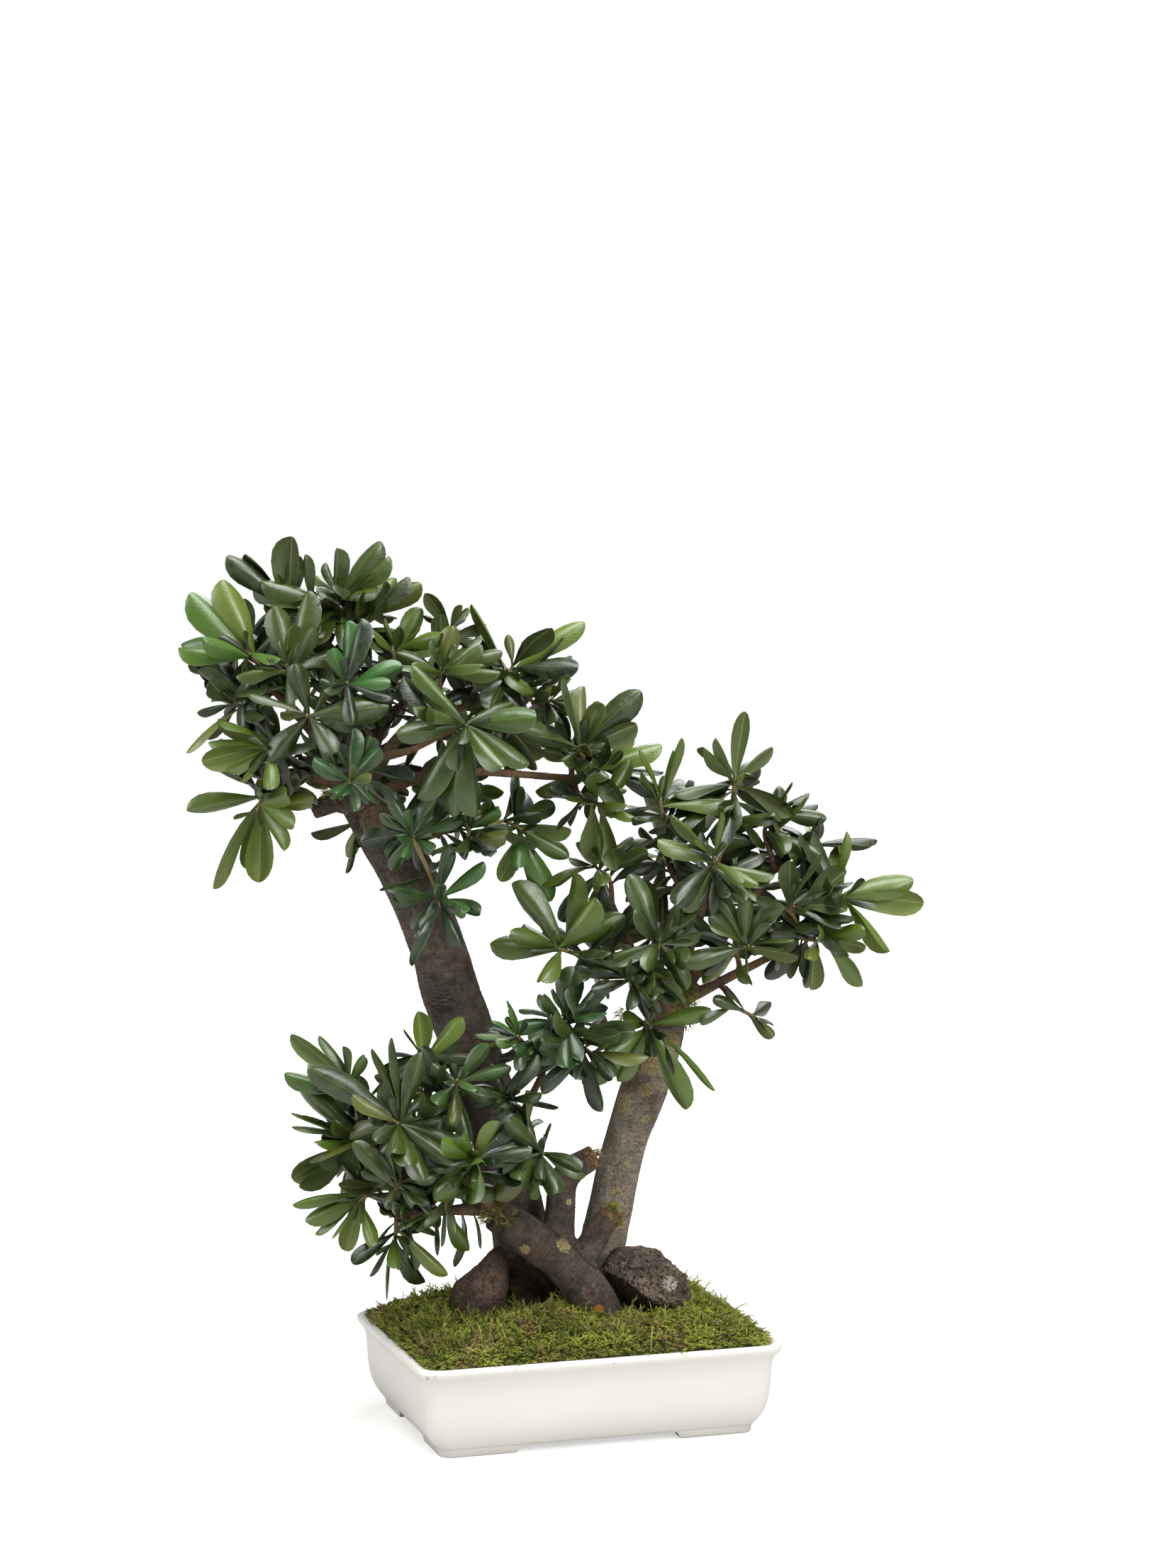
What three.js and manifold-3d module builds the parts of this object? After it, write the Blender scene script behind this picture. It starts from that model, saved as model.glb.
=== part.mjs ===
// A Japanese pittosporum bonsai, about 63 cm tall, in a cream glazed tray.
// Two trunks and a low forked branch stand in soil under a moss cushion, with two lava rocks at their feet.
// The leaves are obovate and leathery, and sit in whorls at the ends of the twigs.
// Millimetres, +Z up. The tray's long side runs along X and its front faces -Y.
import * as THREE from "three";
import Module from "manifold-3d";

const wasm = await Module();
wasm.setup();
const { Manifold, Mesh: SolidMesh } = wasm;

// Driving dimensions
const gap = 0.35; // clearance between two pieces that touch
const tray = {
  length: 264,
  width: 198,
  height: 65,
  corner: 14,
  wall: 8,
  floor: 14,
  footHeight: 5,
  footRing: 14,
  longArch: 112,
  shortArch: 62,
  archSplay: 5,
};
const soilTop = 54;
const moss = { edge: 62, dome: 22, bump: 1.6, fullSide: 8, leanSide: 4 };
const treeTurn = THREE.MathUtils.degToRad(-18); // the tree is planted turned to the tray
const leafThickness = 1.5; // at the rib
const leafWidthShare = 0.38; // of the leaf's length
const shootLength = 15;
const shootRadius = 2.6;
const twigRadius = 2.6;
const trunkSides = 8;
const trunkSteps = { main: 12, right: 8, low: 7 };
const unevenness = 0.06; // of a trunk's roundness
const leafTries = 12;

// A repeatable draw of numbers from 0 to 1
function dice(seed) {
  let state = (seed * 7919 + 17) >>> 0;
  const roll = () => {
    state = (Math.imul(state, 1664525) + 1013904223) >>> 0;
    return state / 4294967296;
  };
  roll();
  roll();
  return roll;
}

const vec = (x, y, z) => new THREE.Vector3(x, y, z);
const unit = (x, y, z) => vec(x, y, z).normalize();

// Solids from closed triangle meshes, and back
function solidOf(points, triangles) {
  const vertProperties = new Float32Array(points.flatMap((p) => [p.x, p.y, p.z]));
  const triVerts = new Uint32Array(triangles.flat());
  return new Manifold(new SolidMesh({ numProp: 3, vertProperties, triVerts }));
}

function meshOf(name, solid, material) {
  const made = solid.getMesh();
  const geometry = new THREE.BufferGeometry();
  geometry.setAttribute("position", new THREE.BufferAttribute(made.vertProperties, 3));
  geometry.setIndex(new THREE.BufferAttribute(made.triVerts, 1));
  geometry.computeVertexNormals();
  const mesh = new THREE.Mesh(geometry, material);
  mesh.name = name;
  return mesh;
}

// A closed three.js geometry as a solid, its shared corners joined by rounding
function solidFromGeometry(geometry) {
  const source = geometry.index ? geometry.toNonIndexed() : geometry;
  const position = source.getAttribute("position");
  const points = [];
  const seen = new Map();
  const corners = [];
  for (let i = 0; i < position.count; i++) {
    const point = vec(position.getX(i), position.getY(i), position.getZ(i));
    const key = point.toArray().map((v) => Math.round(v * 1e4)).join(",");
    if (!seen.has(key)) seen.set(key, points.push(point) - 1);
    corners.push(seen.get(key));
  }
  const triangles = [];
  for (let i = 0; i < corners.length; i += 3) triangles.push(corners.slice(i, i + 3));
  return solidOf(points, triangles);
}

// A cylinder whose rows of corners are moved onto the rings, the first ring at its foot.
// The rings run anticlockwise as seen from the last of them.
function loft(rings) {
  const sides = rings[0].length;
  const steps = rings.length - 1;
  const middles = rings.map((ring) => ring.reduce((sum, p) => sum.add(p), vec(0, 0, 0)).divideScalar(sides));
  const body = new THREE.CylinderGeometry(1, 1, steps, sides, steps);
  const position = body.getAttribute("position");
  for (let i = 0; i < position.count; i++) {
    const [x, y, z] = [position.getX(i), position.getY(i), position.getZ(i)];
    const row = Math.round(y + steps / 2);
    const k = Math.round((Math.atan2(x, z) / (2 * Math.PI) + 1) * sides) % sides;
    const point = Math.hypot(x, z) < 0.5 ? middles[row] : rings[row][k];
    position.setXYZ(i, point.x, point.y, point.z);
  }
  return solidFromGeometry(body);
}

// Several bodies as one, without any loose scrap
function fuse(bodies) {
  const pieces = Manifold.union(bodies).decompose();
  return pieces.reduce((most, piece) => (piece.volume() > most.volume() ? piece : most));
}

// The tray and what fills it
const cornerSteps = 3;
const sideSteps = 3;

// A rectangle with round corners, anticlockwise from the right side
function roundedRing(halfX, halfY, radius, z, straight = 1) {
  const ring = [];
  const centres = [
    [halfX - radius, halfY - radius],
    [radius - halfX, halfY - radius],
    [radius - halfX, radius - halfY],
    [halfX - radius, radius - halfY],
  ];
  centres.forEach(([cx, cy], quarter) => {
    for (let k = 0; k <= cornerSteps; k++) {
      const angle = (quarter + k / cornerSteps) * (Math.PI / 2);
      ring.push(vec(cx + radius * Math.cos(angle), cy + radius * Math.sin(angle), z));
    }
    const start = ring[ring.length - 1];
    const next = centres[(quarter + 1) % 4];
    const angle = (quarter + 1) * (Math.PI / 2);
    const end = vec(next[0] + radius * Math.cos(angle), next[1] + radius * Math.sin(angle), z);
    for (let k = 1; k < straight; k++) ring.push(start.clone().lerp(end, k / straight));
  });
  return ring;
}

// A ring of the tray, drawn in from its lip
function trayRing(inset, z, straight) {
  const radius = Math.max(6, tray.corner - 0.3 * inset);
  return roundedRing(tray.length / 2 - inset, tray.width / 2 - inset, radius, z, straight);
}

// A bar with slanted ends through the foot ring, its wide side on the ground
function footArch(width, reach, turned) {
  const half = width / 2;
  const outline = new THREE.Shape([
    new THREE.Vector2(-half - tray.archSplay, -1),
    new THREE.Vector2(half + tray.archSplay, -1),
    new THREE.Vector2(half, tray.footHeight),
    new THREE.Vector2(-half, tray.footHeight),
  ]);
  const bar = new THREE.ExtrudeGeometry(outline, { depth: 2 * reach, bevelEnabled: false });
  bar.translate(0, 0, -reach);
  bar.rotateX(Math.PI / 2);
  if (turned) bar.rotateZ(Math.PI / 2);
  return solidFromGeometry(bar);
}

// Outside of the tray from the ground up: foot band, curved skirt, upright belly, flared lip
const outsideProfile = [
  [18.5, 0],
  [17.5, 6],
  [16.2, 6.6],
  [9, 19],
  [6.7, 32],
  [5.6, 53],
  [0.6, 59.5],
  [0, 62],
  [1.4, tray.height],
];

function makeTray() {
  const outside = loft(outsideProfile.map(([inset, z]) => trayRing(inset, z)));
  const inset = tray.wall;
  const inside = loft([
    trayRing(inset + 17, tray.floor),
    trayRing(inset + 10, tray.floor + 4),
    trayRing(inset + 3, 36),
    trayRing(inset + 0.4, 58),
    trayRing(inset - 1.5, tray.height + 1),
  ]);
  const recess = loft([
    trayRing(outsideProfile[0][0] + tray.footRing, -1),
    trayRing(outsideProfile[0][0] + tray.footRing, tray.footHeight),
  ]);
  return outside
    .subtract(inside)
    .subtract(recess)
    .subtract(footArch(tray.longArch, tray.width, false))
    .subtract(footArch(tray.shortArch, tray.length, true));
}

function makeSoil() {
  const inset = tray.wall + gap;
  return loft([
    trayRing(inset + 17.6, tray.floor + gap),
    trayRing(inset + 10.2, tray.floor + 4 + gap),
    trayRing(inset + 3, 36),
    trayRing(inset + 0.8, soilTop),
  ]);
}

// Height of the moss over the tray's plan: a low dome with soft bumps, fuller on the right and at the back
function mossHeight(x, y) {
  const u = x / (tray.length / 2 - tray.wall);
  const v = y / (tray.width / 2 - tray.wall);
  const rise = (s) => Math.max(0, 1 - s ** (s > 0 ? moss.fullSide : moss.leanSide));
  const dome = moss.dome * rise(u) * rise(v);
  const bumps = Math.sin(x * 0.11 + 1) * Math.cos(y * 0.13) + Math.sin(x * 0.05 - y * 0.07);
  return moss.edge + dome + moss.bump * bumps * Math.max(0, 1 - (u ** 6 + v ** 6));
}

function makeMossCushion() {
  const inset = tray.wall + gap + 0.6;
  const rings = [trayRing(inset, soilTop + gap, sideSteps)];
  for (const shrink of [1, 0.86, 0.6, 0.3]) {
    const ring = trayRing(inset, 0, sideSteps).map((p) => vec(p.x * shrink, p.y * shrink, 0));
    for (const p of ring) p.z = mossHeight(p.x, p.y);
    rings.push(ring);
  }
  return loft(rings);
}

// Wood. A tube follows a curve, and its radius changes evenly from one value of the list to the next.
function tube(curve, radii, sides, steps, swelling = 0, grow = 0) {
  const rings = [];
  let side = null;
  for (let i = 0; i <= steps; i++) {
    const t = i / steps;
    const centre = curve.getPoint(t);
    const along = curve.getTangent(t);
    if (!side) side = Math.abs(along.z) > 0.9 ? vec(1, 0, 0) : vec(0, 0, 1);
    side.addScaledVector(along, -side.dot(along)).normalize();
    const across = along.clone().cross(side);
    const place = t * (radii.length - 1);
    const low = Math.min(Math.floor(place), radii.length - 2);
    const radius = THREE.MathUtils.lerp(radii[low], radii[low + 1], place - low) + grow;
    if (i === 0) centre.addScaledVector(along, -grow);
    if (i === steps) centre.addScaledVector(along, grow);
    const ring = [];
    for (let k = 0; k < sides; k++) {
      const angle = (k / sides) * 2 * Math.PI;
      const swell = 1 + swelling * (Math.sin(3 * angle + i) + Math.sin(2 * angle - 0.7 * i)) / 2;
      ring.push(
        centre
          .clone()
          .addScaledVector(side, Math.cos(angle) * radius * swell)
          .addScaledVector(across, Math.sin(angle) * radius * swell),
      );
    }
    rings.push(ring);
  }
  return loft(rings);
}

// The wood's own frame: x to the right of the tree's front, y away from it, z up from the ground.
// Each trunk is a list of centre points with a radius.
const trunks = {
  main: [
    [-20, 32, 24, 22],
    [-27, 30, 85, 21.5],
    [-33, 28, 128, 20],
    [-49, 24, 200, 19.5],
    [-67, 19, 262, 20],
    [-81.5, 15, 303, 21.5],
    [-90, 11, 335, 19.5],
    [-109, 6, 385, 19.5],
    [-134, 2, 428, 18.5],
    [-152, 0, 455, 14],
  ],
  right: [
    [20, 38, 24, 17.5],
    [23, 37, 85, 17.3],
    [29.5, 34, 132, 15.8],
    [42.5, 28, 192, 15.5],
    [57, 22, 236, 16.5],
    [69, 16, 272, 15.5],
    [77, 12, 302, 13],
  ],
  low: [
    [30, -20, 44, 17],
    [22, -23, 88, 15.5],
    [0, -27, 117, 14.5],
    [-18, -29, 131, 13.5],
    [-38, -33, 146, 12.5],
    [-50, -35, 154, 11.5],
  ],
};

// The broken stub near the head of the main trunk, and the sawn stubs on the low branch
const stubs = {
  main: [[[-152, 0, 446, 8], [-172, -5, 437, 5.5], [-178, -6, 434, 4.5]]],
  right: [],
  low: [
    [[-5, -24, 122, 11.5], [-3, -16, 152, 10.5], [1, -11, 176, 10], [21.5, -8, 190.5, 8.5]],
    [[7, -22, 110, 10.5], [20, -18, 132, 9.5], [33, -14, 150, 8.5]],
  ],
};

// Limbs that carry the twigs
const limbs = {
  main: [
    [[-148, 0, 450, 7], [-180, -12, 495, 5], [-212, -18, 530, 3.5]],
    [[-146, 0, 450, 7], [-153, -10, 505, 5], [-155, -8, 556, 3.5]],
    [[-142, 0, 448, 7], [-112, -12, 492, 5], [-52, -14, 515, 3.5]],
    [[-140, -2, 444, 6.5], [-90, -18, 463, 4.5], [4, -20, 460, 3]],
    [[-144, -4, 446, 6.5], [-132, -40, 472, 4.5], [-104, -62, 482, 3.2]],
    [[-144, 4, 446, 6.5], [-140, 38, 468, 4.5], [-132, 58, 492, 3.2]],
    [[-134, -4, 432, 6], [-112, -34, 428, 4], [-90, -44, 408, 3]],
    [[-148, -2, 448, 6.5], [-180, -14, 462, 4.5], [-202, -16, 464, 3]],
  ],
  right: [
    [[75, 12, 296, 6.5], [92, 2, 350, 5], [112, -8, 416, 3.2]],
    [[75, 12, 294, 6.5], [112, 4, 314, 4.5], [164, -8, 342, 3]],
    [[73, 12, 292, 6.5], [48, -4, 334, 4.5], [30, -8, 376, 3]],
    [[74, 8, 290, 6], [70, -24, 306, 4.5], [78, -40, 332, 3]],
    [[76, 16, 292, 6], [86, 36, 322, 4.5], [92, 46, 352, 3]],
    [[77, 12, 296, 6], [118, 8, 352, 4.5], [148, 4, 392, 3]],
  ],
  low: [
    [[-48, -35, 157, 6.5], [-82, -42, 174, 4.5], [-130, -42, 196, 3]],
    [[-49, -35, 158, 6.5], [-78, -38, 196, 4.5], [-96, -36, 240, 3]],
    [[-49, -36, 157, 6], [-84, -44, 158, 4.5], [-116, -44, 152, 3]],
    [[-42, -35, 155, 6], [-40, -48, 200, 4.5], [-14, -48, 258, 3]],
    [[-48, -37, 157, 6], [-58, -58, 172, 4.5], [-66, -66, 182, 3]],
    [[-50, -33, 158, 6], [-86, -14, 178, 4], [-104, 2, 192, 3]],
  ],
};

// Whorls of leaves: place, way that the shoot points, number of leaves, leaf length, and then the tips of
// the leaves that show in front: x and z as the eye sees them against the plane y = 0, the width of the leaf
// as a share of its length, and the side turned to the eye: 1 the upper, -1 the lower, 0 the edge.
// A second whorl in a row grows on a side twig of the first, so they are one leafy stem.
const eye = vec(26.6, -2300, 607.4);
const whorls = {
  main: [
    [
      [-160, -5, 589, 0.1, -0.1, 1, 7, 50, [
        [-214, 598, 0.38, 1], [-161, 620, 0.34, 1], [-130, 626, 0.36, 1], [-125, 617, 0.36, 1],
        [-131, 591, 0.3, 1], [-188, 573, 0.38, 1], [-174, 602, 0.4, -1],
      ]],
      [-198, 6, 584, -0.15, 0.1, 1, 6, 44, [
        [-191, 629, 0.44, -1], [-199, 622, 0.38, -1], [-224, 618, 0.36, -1], [-234, 608, 0.38, 1],
        [-207, 622, 0.3, 0],
      ]],
    ],
    [
      [-222, -25, 549, -0.6, -0.35, 0.7, 7, 50, [
        [-264, 590, 0.4, 1], [-240, 600, 0.4, 1], [-255, 558, 0.38, 1], [-273, 553, 0.36, 1],
        [-270, 545, 0.3, 1], [-201, 544, 0.3, 1], [-226, 546, 0.45, -1],
      ]],
      [-240, 14, 556, -0.7, 0.2, 0.6, 5, 42, [[-250, 570, 0.4, -1], [-243, 590, 0.4, -1]]],
    ],
    [
      [-192, -48, 540, -0.3, -0.6, 0.75, 6, 46, [
        [-209, 578, 0.4, 1], [-184, 590, 0.36, 1], [-178, 564, 0.34, 1], [-220, 596, 0.42, 1],
        [-227, 597, 0.36, -1],
      ]],
    ],
    [
      [-136, 6, 579, 0.5, 0.1, 0.85, 5, 46, [
        [-111, 602, 0.36, 1], [-102, 598, 0.38, 1], [-121, 572, 0.36, -1], [-144, 593, 0.34, 1],
      ]],
    ],
    [
      [-148, -72, 529, 0.1, -0.9, 0.4, 9, 34, [
        [-154, 570, 0.42, 1], [-139, 566, 0.46, 1], [-164, 550, 0.44, 1], [-114, 537, 0.38, 1],
        [-123, 526, 0.38, 1], [-123, 518, 0.34, 1], [-170, 521, 0.4, 1], [-149, 496, 0.42, 1],
        [-143, 570, 0.4, 1],
      ]],
    ],
    [
      [-117, -24, 550, 0.3, -0.3, 0.9, 6, 46, [
        [-100, 578, 0.38, 1], [-81, 574, 0.34, 1], [-89, 554, 0.38, 1], [-135, 564, 0.32, 1],
        [-75, 562, 0.42, 1],
      ]],
    ],
    [
      [-85, -48, 538, 0.1, -0.55, 0.8, 6, 44, [
        [-81, 568, 0.44, 1], [-63, 558, 0.36, 1], [-44, 548, 0.3, 1], [-48, 537, 0.3, 1],
        [-107, 537, 0.3, 1],
      ]],
      [-80, -10, 566, 0.4, 0, 0.9, 5, 34, [[-56, 568, 0.34, -1], [-68, 578, 0.2, -1], [-92, 573, 0.4, 1]]],
    ],
    [
      [-36, -12, 540, 0.35, -0.2, 0.9, 6, 54, [
        [-65, 581, 0.22, -1], [13, 571, 0.3, 1], [-61, 562, 0.3, -1], [-2, 537, 0.4, -1], [7, 538, 0.4, 1],
      ]],
      [-8, -22, 514, 0.7, -0.35, 0.1, 6, 42, [
        [-11, 525, 0.5, 1], [17, 502, 0.24, 0], [-11, 510, 0.4, -1], [-42, 534, 0.4, 1], [3, 530, 0.2, 0],
        [2, 508, 0.46, -1],
      ]],
    ],
    [
      [-66, -82, 500, 0.1, -1, 0, 9, 54, [
        [-107, 509, 0.36, 1], [-119, 490, 0.36, 1], [-106, 444, 0.4, 1], [-79, 430, 0.38, 1],
        [-62, 430, 0.34, 1], [-20, 502, 0.42, 1], [-24, 469, 0.36, 1], [-44, 466, 0.4, 1],
        [-109, 538, 0.26, 1],
      ]],
    ],
    [
      [-176, -74, 506, -0.1, -0.95, 0.1, 6, 42, [
        [-191, 539, 0.4, 1], [-208, 469, 0.42, 1], [-163, 477, 0.42, 1], [-224, 519, 0.26, 0],
        [-201, 505, 0.3, -1], [-124, 509, 0.38, 1],
      ]],
    ],
    [
      [-234, -22, 512, -0.85, -0.35, 0.05, 6, 46, [
        [-269, 477, 0.24, 0], [-248, 530, 0.4, -1], [-248, 517, 0.36, -1], [-256, 487, 0.3, -1],
        [-257, 541, 0.4, -1],
      ]],
    ],
    [
      [-206, -54, 482, -0.75, -0.6, -0.2, 6, 42, [
        [-244, 503, 0.44, -1], [-257, 470, 0.36, -1], [-240, 464, 0.3, -1], [-230, 456, 0.26, 0],
        [-209, 450, 0.36, 1], [-264, 477, 0.3, 0],
      ]],
    ],
    [
      [-146, -78, 460, 0.1, -1, -0.1, 6, 36, [
        [-149, 435, 0.34, 1], [-130, 479, 0.4, 1], [-150, 494, 0.42, 1], [-178, 472, 0.4, 1],
        [-161, 448, 0.46, 1], [-137, 459, 0.3, 1],
      ]],
    ],
    [
      [14, -42, 482, 0.6, -0.65, 0.35, 7, 46, [
        [54, 520, 0.34, 1], [49, 508, 0.38, -1], [-2, 471, 0.38, 1], [1, 530, 0.26, 0], [28, 510, 0.4, -1],
        [-22, 491, 0.3, 0], [15, 483, 0.5, -1],
      ]],
      [30, -8, 466, 0.9, 0.1, 0.2, 5, 42, [
        [68, 483, 0.4, 1], [48, 489, 0.38, -1], [50, 473, 0.26, 1], [70, 463, 0.26, 0],
      ]],
    ],
    [
      [-216, -22, 436, -0.35, -0.25, -0.95, 7, 52, [
        [-268, 435, 0.3, 1], [-251, 380, 0.2, 0], [-217, 384, 0.36, -1], [-199, 407, 0.36, 1],
        [-197, 447, 0.36, 1], [-235, 412, 0.3, -1], [-225, 394, 0.3, -1],
      ]],
    ],
    [
      [-104, -62, 420, 0.1, -0.9, -0.25, 6, 36, [
        [-90, 444, 0.4, 1], [-119, 417, 0.42, 1], [-72, 432, 0.3, 1], [-94, 407, 0.36, 1],
        [-114, 403, 0.36, 1], [-111, 436, 0.3, 1],
      ]],
      [-86, -52, 372, 0.25, -0.5, -0.85, 5, 42, [
        [-106, 345, 0.36, 1], [-73, 338, 0.36, 1], [-60, 363, 0.34, 1], [-89, 382, 0.36, 1],
      ]],
    ],
    [
      [-64, -52, 420, 0.25, -0.8, -0.45, 6, 36, [
        [-47, 437, 0.36, 1], [-41, 424, 0.4, 1], [-61, 420, 0.36, 1], [-44, 412, 0.4, 1],
        [-79, 407, 0.3, 1],
      ]],
      [-28, -22, 422, 0.7, -0.3, -0.4, 6, 40, [
        [-7, 439, 0.44, -1], [5, 422, 0.42, -1], [3, 402, 0.36, 1], [9, 408, 0.3, -1], [-34, 395, 0.42, 1],
        [-46, 385, 0.4, -1],
      ]],
    ],
    [
      [28, -28, 442, 0.9, -0.3, -0.05, 6, 36, [
        [3, 456, 0.5, -1], [24, 397, 0.56, -1], [43, 440, 0.36, 1], [-1, 468, 0.2, 0], [35, 400, 0.34, -1],
      ]],
    ],
    [
      [-150, 36, 420, -0.4, 0.5, -0.75, 5, 38],
    ],
    [
      [-182, 60, 525, -0.4, 0.8, 0.4, 6, 46],
      [-212, 54, 472, -0.75, 0.6, -0.2, 5, 44],
    ],
    [
      [-112, 70, 520, 0.1, 0.9, 0.45, 5, 46],
    ],
    [
      [-46, 54, 498, 0.5, 0.75, 0.35, 5, 46],
    ],
    [
      [-150, 78, 468, -0.1, 1, -0.1, 5, 44],
    ],
    [
      [-76, 58, 442, 0.4, 0.75, -0.5, 5, 42],
    ],
  ],
  right: [
    [
      [-6, -35, 342, -0.7, -0.6, 0.3, 7, 50, [
        [-39, 383, 0.34, 1], [5, 392, 0.34, -1], [-54, 342, 0.4, 1], [-39, 348, 0.3, 1],
        [-18, 315, 0.42, 1], [21, 374, 0.46, 1], [43, 361, 0.38, 1],
      ]],
    ],
    [
      [66, -55, 350, 0, -0.8, 0.5, 6, 40, [
        [51, 367, 0.46, 1], [93, 375, 0.44, 1], [100, 360, 0.42, -1], [25, 330, 0.34, 1],
        [52, 391, 0.36, 1], [58, 322, 0.4, 1],
      ]],
      [42, -56, 322, -0.7, -0.7, 0, 6, 38, [
        [9, 326, 0.28, 1], [19, 308, 0.3, 1], [45, 294, 0.4, 1], [61, 305, 0.26, 1], [57, 319, 0.34, 1],
      ]],
    ],
    [
      [60, -32, 285, 0.1, -0.95, -0.1, 7, 46, [
        [72, 326, 0.32, 1], [43, 285, 0.44, 1], [104, 294, 0.32, 1], [36, 242, 0.36, 1], [85, 221, 0.34, 1],
        [28, 263, 0.36, 1], [108, 236, 0.18, 0],
      ]],
    ],
    [
      [104, -60, 408, 0, -0.75, 0.65, 7, 46, [
        [149, 391, 0.28, 1], [75, 433, 0.22, 0], [66, 416, 0.4, 1], [137, 383, 0.28, 1],
        [125, 385, 0.28, 1], [92, 415, 0.22, 0], [109, 435, 0.22, 0],
      ]],
    ],
    [
      [120, -12, 462, 0.1, -0.2, 1, 6, 50, [
        [127, 506, 0.24, -1], [108, 487, 0.28, 1], [146, 481, 0.3, -1], [126, 463, 0.44, 1],
        [93, 445, 0.44, -1], [132, 454, 0.4, -1],
      ]],
    ],
    [
      [160, -34, 371, 0.6, -0.7, 0.4, 6, 46, [
        [206, 362, 0.34, -1], [204, 386, 0.18, 0], [179, 406, 0.26, 0], [159, 401, 0.44, -1],
        [137, 372, 0.26, 1], [197, 353, 0.24, 0],
      ]],
      [198, -14, 375, 0.95, -0.1, 0.2, 5, 54, [
        [247, 387, 0.34, 1], [244, 378, 0.34, -1], [198, 421, 0.28, 0], [196, 411, 0.36, -1],
      ]],
      [184, -16, 344, 0.9, -0.2, -0.1, 5, 46, [
        [230, 353, 0.3, -1], [174, 308, 0.36, -1], [173, 331, 0.36, 1],
      ]],
    ],
    [
      [128, -48, 345, 0.4, -0.85, 0.2, 6, 44, [
        [166, 332, 0.34, -1], [163, 346, 0.34, -1], [129, 372, 0.32, 1], [106, 375, 0.36, 1],
        [128, 319, 0.18, 0], [103, 355, 0.26, 0],
      ]],
    ],
    [
      [150, -2, 438, 0.5, -0.1, 0.85, 6, 46, [
        [178, 442, 0.4, -1], [151, 454, 0.4, -1], [136, 450, 0.42, -1], [160, 456, 0.2, 0],
        [123, 427, 0.4, -1], [146, 428, 0.42, -1],
      ]],
    ],
    [
      [180, 10, 412, 0.7, 0.1, 0.7, 5, 42, [
        [177, 432, 0.22, 0], [184, 408, 0.24, 0], [173, 425, 0.3, -1], [205, 407, 0.24, 0],
      ]],
    ],
    [
      [66, -25, 446, -0.2, -0.4, 0.9, 6, 40, [
        [74, 479, 0.24, 0], [76, 479, 0.2, 0], [55, 464, 0.2, 0], [93, 449, 0.36, -1], [72, 448, 0.42, -1],
        [47, 474, 0.24, 0],
      ]],
    ],
    [
      [20, -10, 398, -0.6, -0.3, 0.6, 5, 44, [[21, 366, 0.4, -1], [58, 406, 0.3, 1]]],
    ],
    [
      [136, -20, 290, 0.85, -0.3, -0.4, 4, 30, [[115, 312, 0.24, 0], [148, 274, 0.4, 1]]],
    ],
    [
      [70, 45, 402, -0.2, 0.85, 0.5, 6, 46],
      [60, 50, 340, -0.4, 0.8, -0.1, 5, 44],
    ],
    [
      [132, 48, 374, 0.4, 0.85, 0.2, 6, 46],
    ],
  ],
  low: [
    [
      [-114, -80, 226, -0.2, -0.95, 0.25, 9, 52, [
        [-183, 252, 0.28, 1], [-136, 267, 0.2, 0], [-123, 274, 0.2, 0], [-101, 263, 0.3, 1],
        [-65, 195, 0.24, 1], [-73, 185, 0.22, 1], [-80, 183, 0.22, 1], [-124, 192, 0.44, 1],
        [-111, 182, 0.46, 1],
      ]],
    ],
    [
      [-98, -38, 270, 0.1, -0.25, 0.95, 7, 40, [
        [-105, 293, 0.4, -1], [-73, 288, 0.36, 1], [-125, 264, 0.3, -1], [-115, 280, 0.16, 0],
        [-63, 262, 0.3, 1], [-81, 234, 0.34, 1], [-122, 253, 0.34, -1],
      ]],
    ],
    [
      [-152, -42, 246, -0.75, -0.35, 0.55, 6, 50, [
        [-195, 276, 0.26, -1], [-174, 276, 0.24, 0], [-200, 248, 0.34, 1], [-182, 255, 0.4, 1],
        [-187, 233, 0.36, -1], [-146, 248, 0.28, 1],
      ]],
    ],
    [
      [-152, -32, 204, -0.95, -0.2, -0.05, 7, 50, [
        [-191, 244, 0.28, 1], [-190, 166, 0.4, -1], [-195, 172, 0.36, -1], [-195, 210, 0.22, 0],
        [-184, 221, 0.2, 0], [-183, 184, 0.24, 0], [-195, 221, 0.12, 0],
      ]],
    ],
    [
      [-116, -80, 180, -0.2, -0.95, -0.2, 6, 30, [
        [-146, 177, 0.32, 1], [-142, 187, 0.34, 1], [-107, 154, 0.34, 1], [-97, 155, 0.28, 1],
        [-94, 144, 0.14, 0], [-152, 198, 0.34, 1],
      ]],
    ],
    [
      [-118, -50, 136, 0, -0.3, -0.95, 6, 44, [
        [-83, 103, 0.28, 1], [-128, 84, 0.16, 0], [-152, 111, 0.36, 1], [-113, 123, 0.3, 1],
        [-141, 102, 0.24, 0],
      ]],
    ],
    [
      [-144, -45, 164, -0.75, -0.35, -0.55, 7, 46, [
        [-186, 142, 0.34, 1], [-180, 133, 0.26, 0], [-191, 150, 0.2, 0], [-156, 142, 0.44, -1],
        [-167, 129, 0.24, 0], [-156, 120, 0.36, -1], [-138, 123, 0.3, 1],
      ]],
    ],
    [
      [-82, -72, 164, -0.1, -0.6, -0.8, 5, 38, [
        [-90, 123, 0.2, 0], [-106, 134, 0.2, 0], [-77, 132, 0.2, 0], [-114, 130, 0.2, 0],
      ]],
    ],
    [
      [-14, -68, 203, 0.35, -0.9, 0.05, 8, 46, [
        [-50, 157, 0.42, 1], [11, 178, 0.3, 1], [-6, 162, 0.4, 1], [-27, 158, 0.4, -1], [-54, 184, 0.24, 1],
        [-41, 214, 0.34, 1], [-60, 189, 0.34, 1], [-12, 213, 0.2, 0],
      ]],
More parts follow.
